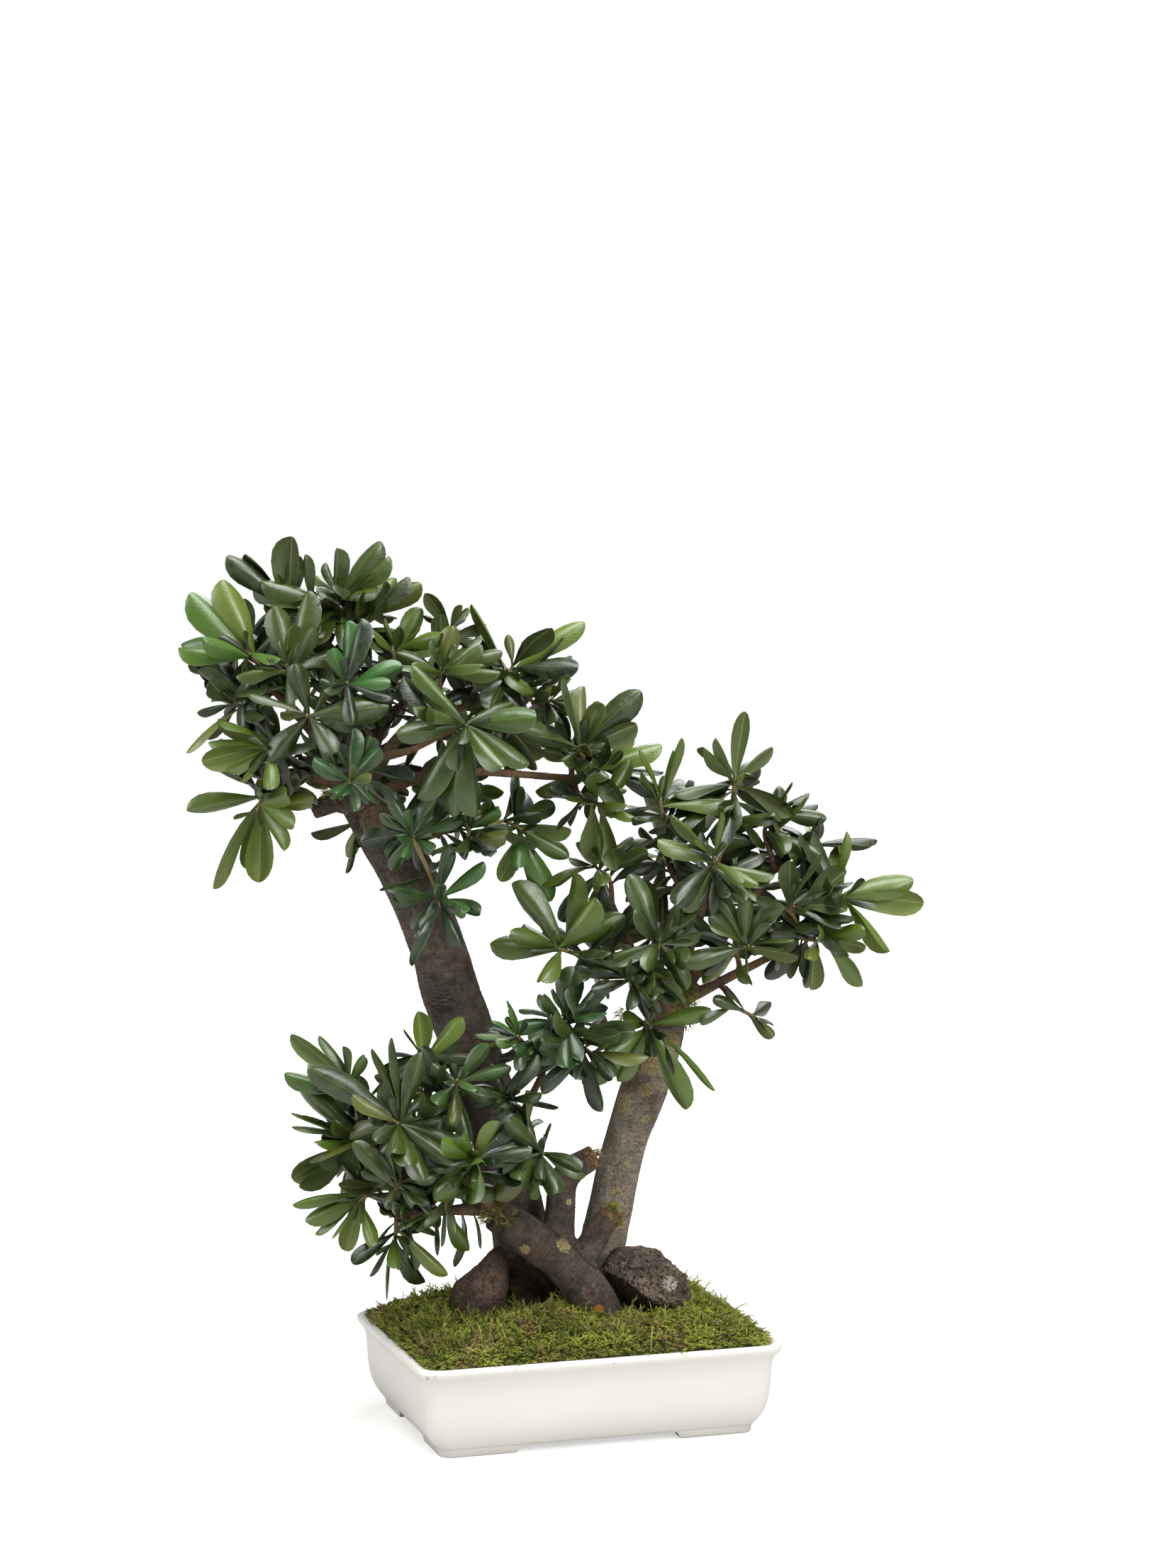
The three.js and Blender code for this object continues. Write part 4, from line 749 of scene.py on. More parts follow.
def makeWood(part):
    samples = spine(part)
    body = joinRods(part, samples)
    points = pointsOf(body)
    normals = np.empty(len(points) * 3, np.float32)
    body.data.vertex_normals.foreach_get("vector", normals)
    normals = normals.reshape(-1, 3)
    tree = kdtree.KDTree(len(samples))
    for index, sample in enumerate(samples):
        tree.insert(Vector(sample[0]), index)
    tree.balance()
    straight, state = np.zeros((len(points), 3)), np.zeros((len(points), 3))
    for index, point in enumerate(points):
        found = tree.find_n(Vector(point), wood["nearest"])
        chosen = min(found, key=lambda hit: hit[2] - samples[hit[1]][5])[1]
        place, along, side, across, run, radius, number, t = samples[chosen]
        away = point - place
        angle = math.atan2(away @ across, away @ side)
        spot = Vector((math.cos(angle) * radius, math.sin(angle) * radius,
                       run + away @ along + number * wood["lineGap"]))
        lump = noise.noise(spot * wood["lumpScale"]) * wood["lump"]
        ridge = (0.5 - abs(noise.noise(spot * wood["ridgeScale"] * wood["ridgeStretch"]))) * wood["ridge"]
        grain = noise.noise(spot * wood["grainScale"] * wood["grainStretch"]) * wood["grain"]
        thin = min(1, radius / wood["thin"])
        points[index] += normals[index] * (lump * thin + (ridge + grain) * max(wood["leastDepth"], thin))
        straight[index] = spot
        cut = 0.0
        if 1 <= number <= len(stubs[part]) and t > wood["cutFrom"]:
            ragged = wood["ragged"] * noise.noise(Vector(point) * wood["raggedScale"])
            cut = min(1, max(0, (away @ along + wood["crust"] + ragged) / wood["cutFade"]))
        state[index] = (cut, thin, wood["palenessAndShade"][part] if number <= len(stubs[part]) else wood["limbPale"])
    setPoints(body, [tuple(toTree @ Vector(p)) for p in points])
    paintPoints(body, "grainWay", straight * mm)
    paintPoints(body, "woodState", state)
    softEdges(body, 60)
    return body


# Spots on the bark, in the tree's own frame: x, y, z and radius
barkSpots = {
    "lichen": ((69.5, 5, 267, 9), (65, 6, 261, 5), (72, 6.5, 253.5, 6), (61, 6, 253, 5), (57, 5.5, 235, 3.6),
               (40, 12, 225, 5), (59, 9, 212, 3), (0, -37, 133, 4.2), (-28, -42, 130, 2.8),
               (1, -22, 150, 2.2), (3, -23, 160, 1.6), (46, 11, 180, 3.2), (36, 15, 160, 3)),
    "rust": ((-22, -43, 127, 3), (-15, -41, 126, 2.5), (4, -39, 115, 2.2), (9, -39, 110, 2.2),
             (16, -37, 98, 3), (49, 7, 240, 6), (33, -24, 139, 4), (-72, 0, 262, 3)),
    "orange": ((24, -39, 86, 3.0), (3.5, -20, 149, 1.2)),
}


def barkFinish():
    bark = Recipe("greyBrownBark")
    run = bark.attribute("grainWay")
    cut, thick, palenessAndShade = bark.parts("woodState")
    broad = bark.clouds(run, 60, 5, 0.65)
    patches = bark.clouds(run, 170, 6, 0.72, (1, 1, 0.6))
    fine = bark.clouds(run, 1300, 4, 0.75, (1, 1, 0.5))
    wrinkles = bark.clouds(run, 360, 5, 0.72, (0.5, 0.5, 1.8))
    rings = bark.clouds(run, 190, 6, 0.65, (0.35, 0.35, 2.0))
    ragged = bark.clouds(run, 800, 6, 0.8)
    # tones chosen by the pale share: partly the bark's colour, partly painted shade on the main and low
    # trunks
    dark, light, whitish, grey = (bark.blend(palenessAndShade, *tones) for tones in (
        ((44, 35, 31), (84, 73, 61)), ((92, 77, 67), (172, 158, 137)), ((122, 114, 102), (200, 190, 168)),
        ((92, 88, 82), (126, 122, 112))))
    bark.colour = dark
    bark.layers((light, broad, 0.28, 0.62), (dark, patches, 0.38, 0.5, 0.6, 0.0),
                ((36, 30, 26), fine, 0.34, 0.5, 0.65, 0.0), (whitish, fine, 0.54, 0.68, 0.0, 0.5),
                (whitish, patches, 0.56, 0.66, 0.0, 0.5), ((42, 35, 30), wrinkles, 0.3, 0.43, 0.55, 0.0),
                (grey, bark.clouds(run, 21, 3), 0.52, 0.66, 0.0, 0.35),
                (bark.blend(fine, (104, 79, 56), (176, 142, 104)), thick, 0.25, 0.5, 0.85, 0.0))
    # painted light: the right trunk is painted paler below its middle, where it is lit past the canopy's
    # shade, and streaks run round the bark here and there
    paintedLight = bark.times(bark.near((46, 12, 165), 60, 0.9), palenessAndShade)
    bark.cover(bark.times(paintedLight, bark.band(fine, 0.36, 0.6, 0.05, 0.5)), (206, 194, 174))
    cracks = bark.band(bark.maths("ABSOLUTE", bark.maths("SUBTRACT", rings, 0.5)), 0.003, 0.014)
    bark.layers(((40, 34, 29), cracks, 0, 1, 0.6, 0.0))
    # crusts of lichen in small scattered flecks, and the larger ones where the photo has them
    flecks = bark.times(bark.band(bark.cells(run, 420), 0.14, 0.26, 1.0, 0.0),
                        bark.band(bark.clouds(run, 50, 3), 0.47, 0.6, 0.0, 0.85))
    bark.cover(bark.times(flecks, palenessAndShade), (150, 138, 84))
    crust = bark.blend(bark.band(ragged, 0.45, 0.6), (140, 120, 76), (228, 208, 156))
    for kind, tone, share in (("lichen", crust, 0.95), ("rust", (112, 68, 50), 0.4),
                              ("orange", (184, 118, 34), 0.85)):
        whole = 0.0
        for x, y, z, radius in barkSpots[kind]:
            whole = bark.maths("MAXIMUM", whole, bark.near((x, y, z), radius * 1.35, 1.0))
        bark.layers((tone, bark.maths("ADD", bark.times(whole, 0.7), ragged), 0.82, 0.9, 0.0, share))
    scar = bark.times(bark.near((-88, -5, 300), 12, 0.7), bark.band(wrinkles, 0.44, 0.58, 1.0, 0.0))
    bark.cover(scar, (34, 27, 23))
    crumbs = bark.clouds(bark.place, 420, 5, 0.8)
    bark.cover(bark.times(cut, 0.9), bark.blend(bark.band(crumbs, 0.4, 0.6), (64, 46, 32), (166, 128, 84)))
    bark.relief((patches, 0.0026, 0.9), (cracks, 0.0012, 0.9), (wrinkles, 0.0022, 0.9), (fine, 0.001, 1.0))
    return bark.finish(rough=bark.band(broad, 0.3, 0.7, 0.7, 0.9), shine=0.35)


barkMaterial = barkFinish()
for part in partNames:
    body = makeWood(part)
    body.data.materials.clear()
    body.data.materials.append(barkMaterial)
    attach(body, "root")
    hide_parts("branch_low" if part == "low" else f"trunk_{part}")
print("wood made")

# Leaves: one blade, modelled once and bent to the place of each leaf
blade = {"rows": [0, 0.14, 0.32, 0.5, 0.67, 0.81, 0.91, 0.97, 0.996], "columns": 4, "widthShare": 0.36,
         "stalk": 0.75, "slim": (0.86, 0.12), "thick": 0.26, "crown": (0.5, 0.6), "groove": 0.1, "keel": 0.4,
         "wave": 0.12, "waves": 9, "midrib": 5, "roll": 1.1, "loose": 1.8, "twist": 0.8,
         "droop": 0.06, "droopPower": 2.5, "upward": 0.12, "rootOut": 0.52, "solidEnd": 0.97, "match": 0.0004,
         "roundOutline": (1.1, 2, 0.55, 0.467), "plainOutline": (1.1, 2.6, 0.6, 0.5), "outlineEnd": 0.9985}


def bladePattern():
    # a grid doubled back to back, sewn round its edge: x across, y along, z which side
    steps = len(blade["rows"]) - 1
    bpy.ops.mesh.primitive_grid_add(x_subdivisions=blade["columns"], y_subdivisions=steps, size=2)
    pattern = bpy.context.object
    bpy.ops.object.mode_set(mode="EDIT")
    bpy.ops.mesh.select_all(action="SELECT")
    bpy.ops.mesh.duplicate()
    bpy.ops.mesh.flip_normals()
    bpy.ops.transform.translate(value=(0, 0, -1))
    bpy.ops.object.mode_set(mode="OBJECT")
    for vertex in pattern.data.vertices:
        onEdge = abs(vertex.co.x) > 0.999 or abs(vertex.co.y) > 0.999
        side = 0 if onEdge else (1 if vertex.co.z > -0.5 else -1)
        vertex.co = (vertex.co.x, blade["rows"][round((vertex.co.y + 1) / 2 * steps)], side)
    bpy.ops.object.mode_set(mode="EDIT")
    bpy.ops.mesh.select_all(action="SELECT")
    bpy.ops.mesh.remove_doubles(threshold=1e-4)
    bpy.ops.object.mode_set(mode="OBJECT")
    points = pointsOf(pattern)
    faces = [tuple(face.vertices) for face in pattern.data.polygons]
    kinds = [0 if sum(points[i][2] for i in face) > 0 else 1 for face in faces]
    bpy.data.objects.remove(pattern)
    return points, faces, kinds


def halfWidth(t, roundTip):
    # the plainer outline is the one of the solid leaves
    t = np.clip(t, 0, blade["outlineEnd"])
    foot, fall, tip, widest = blade["roundOutline" if roundTip else "plainOutline"]
    return t ** foot * (1 - t ** fall) ** tip / widest


def asSeen(spot):
    # where the eye sees a place against the plane y = 0
    return eye + (spot - eye) / (1 - spot[1] / eye[1])


# How the solid leaves were laid: the seen ones by their tips, the others by draws
seenLeaf = {"length": 0.95, "depth": 0.8, "mostDepth": 0.72, "edgeDepth": 0.5, "bend": (5, 11),
            "inward": 0.05, "inwardUnder": -0.5, "astray": 5, "faceEye": 0.8, "faceUp": 0.5, "faceAim": 0.3}
unseenLeaf = {"turn": 2.39996, "turnSpread": 0.9, "tilt": 96, "tiltByRank": 64, "tiltSpread": 36,
              "bend": (8, 40), "size": (0.78, 0.36), "lift": (0.35, 0.5), "aimedTries": 8, "wholeTries": 5,
              "smaller": 0.8, "wider": 0.25}


def tipPlace(head, root, x, z, side):
    # where a tip lies that the eye sees at x, z, so that the leaf has about its whorl's length
    want = head["length"] * seenLeaf["length"]
    inward = head["aim"][1] > seenLeaf["inwardUnder" if side < 0 else "inward"]
    tip = np.array((x, root[1], z), float)
    for _ in range(5):
        tip[::2] = eye[::2] + ((x, z) - eye[::2]) * (1 - tip[1] / eye[1])
        flat = math.hypot(tip[0] - root[0], tip[2] - root[2])
        depth = seenLeaf["depth"] * math.sqrt(max(0, want ** 2 - flat ** 2))
        depth = min(depth, seenLeaf["mostDepth"] * want)
        tip[1] = root[1] + (depth if inward else -depth) * (1 if side else seenLeaf["edgeDepth"])
    return tip


def shootPlace(head, rank):
    return head["base"] + head["aim"] * shoots["length"] * (0.2 + 0.75 * rank)


def arcLeaf(root, tip, up, half, width):
    # a leaf that bends evenly from its root to its tip
    chord = unit(tip - root)
    up = unit(up - chord * (up @ chord))
    return {"root": root, "way": chord * math.cos(half) + up * math.sin(half),
            "face": up * math.cos(half) - chord * math.sin(half), "bend": 2 * half,
            "length": np.linalg.norm(tip - root) * half / math.sin(half), "width": width, "loose": 1}


def aimLeaf(head, index, attempt, roll):
    aim = head["aim"]
    x, z, width, side = (*head["tips"][index], 1)[:4]
    root = shootPlace(head, (index + 0.5) / head["count"])
    tip = tipPlace(head, root, x, z, side)
    tip += (np.array((roll(), roll(), roll())) - 0.5) * attempt * seenLeaf["astray"]
    outward = tip - root
    root = root + unit(outward + aim * (0.01 - outward @ aim)) * blade["rootOut"]
    half = math.radians(within(roll, *seenLeaf["bend"]))
    if side:
        up = np.array((0, -seenLeaf["faceEye"] * side, seenLeaf["faceUp"])) + aim * seenLeaf["faceAim"]
    else:
        up = np.cross(unit(tip - root), (0, 1, 0.001))
        up = -up if up[2] < 0 else up
    return arcLeaf(root, tip, up, half, width / 100)


def placeLeaf(head, rank, around, tilt, bend, size, lift):
    # angles in degrees, but for the one around the shoot
    aim, tilt = head["aim"], math.radians(tilt)
    side = levelSide(None, aim, 0.8)
    outward = side * math.cos(around) + np.cross(aim, side) * math.sin(around)
    way = unit(outward * math.sin(tilt) + aim * math.cos(tilt) + np.array((0, 0, blade["upward"])))
    face = aim + np.array((0, 0, lift))
    return {"root": shootPlace(head, rank) + outward * blade["rootOut"], "way": way,
            "face": unit(face - way * (face @ way)), "bend": math.radians(bend), "length": size,
            "width": blade["widthShare"], "loose": blade["loose"]}


def readLeaf(head, index, attempt, seed):
    roll = dice(seed * 1000 + index * 20 + attempt)
    ways = unseenLeaf
    if index < len(head["tips"]) and attempt < ways["aimedTries"]:
        return aimLeaf(head, index, attempt, roll)
    rank = (index + 0.5) / head["count"]
    spread = 1 + attempt * ways["wider"]
    around = index * ways["turn"] + (roll() - 0.5) * ways["turnSpread"] * spread
    tilt = ways["tilt"] - ways["tiltByRank"] * rank + (roll() - 0.5) * ways["tiltSpread"] * spread
    bend = within(roll, *ways["bend"])
    size = head["length"] * within(roll, *ways["size"])
    size *= ways["smaller"] if attempt > ways["wholeTries"] else 1
    return placeLeaf(head, rank, around, tilt, bend, size, within(roll, *ways["lift"]))


def bendBlade(leaf, x, t, z, style):
    # x, t and z are arrays; style shapes the cross-section
    turn = leaf["bend"] * t
    length = leaf["length"]
    along = np.cos(turn)[:, None] * leaf["way"] - np.sin(turn)[:, None] * leaf["face"]
    normal = np.cos(turn)[:, None] * leaf["face"] + np.sin(turn)[:, None] * leaf["way"]
    across = np.cross(along, normal)
    half = length * leaf["width"] * halfWidth(t, style["roundTip"]) / 2 * style["slim"]
    half = np.maximum(half, blade["stalk"] * (t < 0.5))
    crown = style["crown"] * half * x ** 2
    middle = np.exp(-(x * blade["midrib"]) ** 2)
    up = np.where(z > 0, blade["thick"] - blade["groove"] * middle, 0)
    up = np.where(z < 0, -blade["thick"] - blade["keel"] * middle * (1 - t), up)
    up = up * np.minimum(1, half / 2 + 0.3) - crown
    up = up + style["wave"] * half * np.sin(style["phase"] + t * blade["waves"]) * x
    up = up - style["droop"] * length * t ** blade["droopPower"]
    twist = style["roll"] + style["twist"] * t
    flat = x * half
    sideways = flat * np.cos(twist) - up * np.sin(twist)
    raised = flat * np.sin(twist) + up * np.cos(twist)
    return (leaf["root"] + leaf["way"] * (length * np.sin(turn) / leaf["bend"])[:, None]
            - leaf["face"] * (length * (1 - np.cos(turn)) / leaf["bend"])[:, None]
            + across * sideways[:, None] + normal * raised[:, None])


plainStyle = {"crown": 0, "wave": 0, "phase": 0, "twist": 0, "roll": 0, "slim": 1, "droop": 0,
              "roundTip": False}


def plainSpot(leaf, x, t):
    # a place on a leaf of the solid model
    return bendBlade(leaf, np.array([x]), np.array([t]), np.array([0.0]), plainStyle)[0]


# Added leaves; a pair is the least and the spread of a draw, angles are in degrees
leafSets = {"inner": {"seed": (31, 5), "count": 6, "around": (0, 6.283), "rank": (-0.15, 0.8),
                      "tilt": (92, 40), "tiltByRank": 70, "size": (0.7, 0.35), "bend": (6, 45),
                      "lift": (0.3, 0.6)},
            "young": {"count": 3, "turn": 2.2, "rank": 0.95, "tilt": (18, 24), "size": (0.3, 0.3),
                      "bend": (6, 14), "lift": 0.3},
            "onTwig": {"seed": (53, 11), "count": 9, "turn": 2.4, "rank": -0.267, "reach": 0.75,
                       "tilt": (40, 65), "size": (0.65, 0.4), "bend": (6, 45), "lift": 0.5,
                       "width": (0.3, 0.14)}}
# The numbers that the leaves' draws start from: a whorl's own come first, then those added to it
leafNumbers = {"perHead": 100, "solid": 0, "inner": 50, "young": 80, "onTwig": 90, "hanging": 8450,
               "lastInner": 8500, "filler": 9000}
# the last share darkens the inner leaves: painted shade inside the canopy
tinting = {"emerald": 0.22, "brightPower": 1.3, "innerPaintedShade": 0.36}
# Whorls of a deeper, bluer green, by part and number; on the main whorl 2 the deeper green is painted shade
emeraldsAndShade = {"main": {2: 0.45, 5: 0.9, 13: 0.75, 16: 0.75, 17: 0.5, 9: 0.2}, "right": {3: 0.2, 2: 0.2},
            "low": {3: 0.4, 9: 0.3, 11: 0.5, 12: 0.7, 13: 0.55, 10: 0.3}}
# Places seen from the eye that the leaves behind stay out of: x, z, half width and half height
clearings = np.array([(-170, 425, 12, 10), (-235, 408, 16, 12), (-200, 415, 14, 12), (-105, 582, 10, 10),
                      (-45, 455, 12, 10), (5, 460, 12, 10), (-68, 388, 11, 11), (28, 388, 10, 12),
                      (118, 310, 12, 12), (133, 288, 14, 12), (180, 342, 12, 10), (203, 320, 14, 12),
                      (225, 345, 10, 10), (130, 485, 12, 12), (-135, 265, 14, 12), (-98, 278, 12, 12),
                      (-95, 115, 16, 14), (-78, 145, 12, 10), (-5, 230, 12, 14), (5, 195, 12, 14),
                      (40, 290, 10, 10), (-193, 506, 17, 24)], float)
# Whorls with nothing behind them
sparse = [("main", 9)]
# Single leaves that the photo shows and no stem of the solids has: x and z of the tip, seen from the eye
fillers = {"main": [(-225, 585), (-118, 600), (25, 512), (-58, 400), (-70, 363), (-10, 370), (50, 430),
                    (-22, 450), (-178, 446), (-193, 425), (-155, 402)],
           "right": [(120, 440), (212, 350), (12, 240)],
           "low": [(-40, 280), (-178, 200), (-133, 150), (-120, 108)]}
fillerWays = {"reach": 40, "depth": -20, "depthCost": 0.15, "width": 36, "seed": 700, "longest": 75}
# Narrow leaves that hang under the low branch, numbered among the inner leaves so that they are darkened with
# painted shade: foot, tip, the way they face, bend and width
hangers = [((-74, -40, 160), (-76, -46, 117), (1, -0.4, 0), 1.3, 0.2),
           ((-94, -42, 158), (-88, -50, 127), (1, -0.4, 0), 0.9, 0.2),
           ((-104, -44, 154), (-112, -48, 124), (-1, 0.4, 0), 1.0, 0.22),
           ((-66, -42, 159), (-58, -50, 132), (1, -0.4, 0), 0.8, 0.2),
           ((-115, -44, 152), (-136, -50, 128), (-1, 0.4, 0), 0.9, 0.24)]


def leafNumber(seed, kind, index):
    return seed * leafNumbers["perHead"] + leafNumbers[kind] + index


def leavesOf(part, seed):
    # every leaf of the solid stems, found again by its corners, and the stems' own shoots
    leaves, heads = [], []
    for number, rows in enumerate(whorls[part], 1):
        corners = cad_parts[f"leaves_{part}_{number:02d}"].data.vertices
        tree = kdtree.KDTree(len(corners))
        for index, vertex in enumerate(corners):
            tree.insert(vertex.co, index)
        tree.balance()
        for row in rows:
            seed += 1
            head = dict(readWhorl(row), seed=seed, emerald=emeraldsAndShade[part].get(number, 0.0),
                        isSparse=(part, number) in sparse)
            heads.append(head)
            for index in range(head["count"]):
                for attempt in range(12):
                    leaf = readLeaf(head, index, attempt, seed)
                    tips = [toTree @ Vector(plainSpot(leaf, x, blade["solidEnd"])) for x in (1.0, -1.0)]
                    if all(tree.find(tip)[2] < blade["match"] for tip in tips):
                        leaves.append((leaf, leafNumber(seed, "solid", index), head["emerald"]))
                        break
    return leaves, heads, seed


trunkLines = [SmoothLine(rows) for rows in trunks.values()]
trunkSpots = np.array([(*line.at(t), line.radius(t)) for line in trunkLines for t in np.linspace(0, 1, 60)])


def isFree(leaf):
    # clear of the trunks, and of the places that the photo shows empty
    for t in (0.35, 0.7, 1.0):
        spot = plainSpot(leaf, 0.0, t)
        away = np.linalg.norm(trunkSpots[:, :3] - spot, axis=1)
        if np.min(away - trunkSpots[:, 3]) < 3:
            return False
        seen = asSeen(spot)[::2]
        if any(np.linalg.norm((seen - row[:2]) / row[2:]) < 1 for row in clearings):
            return False
    return True


def extraLeaves(heads, paths):
    # inner and young leaves of every whorl, and those along the twigs
    more = []
    for head in heads:
        inner, young = leafSets["inner"], leafSets["young"]
        roll = dice(head["seed"] * inner["seed"][0] + inner["seed"][1])
        for index in range(0 if head["isSparse"] else inner["count"]):
            around = within(roll, *inner["around"])
            rank = within(roll, *inner["rank"])
            tilt = within(roll, *inner["tilt"]) - inner["tiltByRank"] * max(rank, 0)
            size = head["length"] * within(roll, *inner["size"])
            leaf = placeLeaf(head, rank, around, tilt, within(roll, *inner["bend"]), size,
                             within(roll, *inner["lift"]))
            more.append((leaf, leafNumber(head["seed"], "inner", index), head["emerald"]))
        for index in range(young["count"]):
            size = head["length"] * within(roll, *young["size"])
            around, tilt = index * young["turn"] + roll(), within(roll, *young["tilt"])
            leaf = placeLeaf(head, young["rank"], around, tilt, within(roll, *young["bend"]), size,
                             young["lift"])
            more.append((leaf, leafNumber(head["seed"], "young", index), head["emerald"]))
    for head, path in paths:
        lone = leafSets["onTwig"]
        roll = dice(head["seed"] * lone["seed"][0] + lone["seed"][1])
        for index in range(lone["count"]):
            place = (1 - lone["reach"] * roll()) * (len(path) - 1)
            low = min(int(place), len(path) - 2)
            step = path[low + 1] - path[low]
            bud = {"base": path[low] + step * (place - low), "aim": unit(step)}
            around, tilt = index * lone["turn"] + roll(), within(roll, *lone["tilt"])
            bend, size = within(roll, *lone["bend"]), head["length"] * within(roll, *lone["size"])
            leaf = placeLeaf(bud, lone["rank"], around, tilt, bend, size, lone["lift"])
            leaf["width"] = within(roll, *lone["width"])
            more.append((leaf, leafNumber(head["seed"], "onTwig", index), head["emerald"]))
    return [row for row in more if isFree(row[0])]


def fillerLeaves(part, heads):
    # each grows from the shoot that lies at about a leaf's length from its tip
    more = []
    for number, (x, z) in enumerate(fillers[part]):
        fit = []
        for head in heads:
            seen = asSeen(head["base"])
            away = abs(math.hypot(seen[0] - x, seen[2] - z) - fillerWays["reach"])
            deep = abs(head["base"][1] - fillerWays["depth"])
            fit.append((away + fillerWays["depthCost"] * deep, len(fit)))
        head = dict(heads[min(fit)[1]], count=1, tips=[(x, z, fillerWays["width"])])
        leaf = aimLeaf(head, 0, 0, dice(fillerWays["seed"] + number))
        if leaf["length"] < fillerWays["longest"]:
            more.append((leaf, leafNumbers["filler"] + number, head["emerald"]))
    return more


def leafFinish(name, isUpper):
    leaf = Recipe(name)
    x, t, tone = leaf.parts("leafPlace")
    emerald, worn, brightAndShade = leaf.parts("leafTintAndShade")
    across = leaf.maths("ABSOLUTE", x)
    mottle = leaf.clouds(leaf.place, 120)
    angled = leaf.maths("SUBTRACT", leaf.times(t, 2.1), leaf.times(across, 0.55))
    veinWay = leaf.add("CombineXYZ", {0: angled, 1: leaf.times(tone, 7.0)}).outputs[0]
    vein = leaf.add("TexWave", {"Vector": veinWay, "Scale": 2.4, "Distortion": 1.2, "Detail": 2.0})
    veins = leaf.band(vein.outputs["Fac"], 0.75, 1.0)
    if isUpper:
        olive, deep = ((23, 28, 14), (92, 114, 27)), ((16, 28, 17), (44, 94, 36))
    else:
        olive, deep = ((54, 64, 30), (104, 119, 46)), ((44, 64, 36), (78, 106, 52))
    leaf.colour = leaf.blend(emerald, leaf.blend(brightAndShade, *olive), leaf.blend(brightAndShade, *deep))
    if isUpper:
        leaf.layers(((118, 122, 46), worn, 0.92, 0.97, 0.0, 0.45),
                    ((66, 86, 34), mottle, 0.4, 0.64, 0.0, 0.3))
        leaf.cover(leaf.times(veins, 0.035), (104, 124, 68))
        # a paler midrib, and a pale silvery line along the rim: partly the leaf's own edge, partly painted
        # sheen
        leaf.layers(((120, 140, 76), across, 0.01, 0.07, 0.24, 0.0),
                    ((136, 146, 104), across, 0.95, 0.99, 0.0, 0.25))
        skin = leaf.maths("ADD", leaf.clouds(leaf.place, 1100, 3), leaf.times(veins, -0.35))
        leaf.relief((mottle, 0.0008, 0.6), (skin, 0.0002, 0.55))
        gleam = leaf.band(mottle, 0.35, 0.65, 0.27, 0.37)
        return leaf.finish(rough=gleam, shine=0.55, coat=0.2, coatRough=0.22)
    leaf.layers(((150, 160, 92), leaf.cells(leaf.place, 900, "DISTANCE_TO_EDGE"), 0.02, 0.1, 0.14, 0.0))
    leaf.cover(leaf.times(veins, 0.05), (150, 160, 88))
    leaf.layers(((156, 164, 100), across, 0.02, 0.08, 0.5, 0.0))
    leaf.relief((leaf.maths("ADD", leaf.times(veins, 0.3), mottle), 0.0003, 0.4))
    return leaf.finish(rough=0.5, shine=0.4)


def shootFinish():
    shoot = Recipe("greenShoot")
    grain = shoot.clouds(shoot.place, 300)
    shoot.colour = shoot.blend(grain, (104, 84, 48), (140, 124, 76))
    shoot.relief((grain, 0.0005, 1.0))
    return shoot.finish(rough=0.7)


def leafStyle(leaf, roll):
    return {"crown": within(roll, *blade["crown"]), "wave": roll() * blade["wave"], "phase": roll() * 6.28,
            "twist": (roll() - 0.5) * blade["twist"], "roll": (roll() - 0.5) * blade["roll"] * leaf["loose"],
            "slim": within(roll, *blade["slim"]), "droop": roll() * blade["droop"], "roundTip": True}


def growTwigs(part, heads, pile, twigs):
    # a twig from a limb to the first whorl of each stem, from there green ones to the others, and the shoots
    paths, start = [], 0
    for rows in whorls[part]:
        first, *others = heads[start:start + len(rows)]
        start += len(rows)
        fork, along = bestFork(limbs[part], first["base"])
        path = twigPath(fork, along, first["base"] - first["aim"] * shoots["gap"], first["aim"], 8)
        twigs.tube(path, shoots["twigRadii"], shoots["twigSides"], (0, 0.2, 0), 0)
        paths.append((first, path))
        for other in others:
            fork = first["base"] + first["aim"] * shoots["forkFrom"]
            end = other["base"] + other["aim"] * shoots["overlap"]
            path = twigPath(fork, first["aim"], end, other["aim"], 6)
            pile.tube(path, shoots["forkRadii"], shoots["sides"], (0, 0, 0.5), 2)
            paths.append((other, path))
    for head in heads:
        base, aim = head["base"], head["aim"]
        path = [base - aim * shoots["overlap"], base + aim * shoots["middle"], head["tip"]]
        pile.tube(path, shoots["radii"], shoots["sides"], (0, 0, 0.5), 2)
    return paths


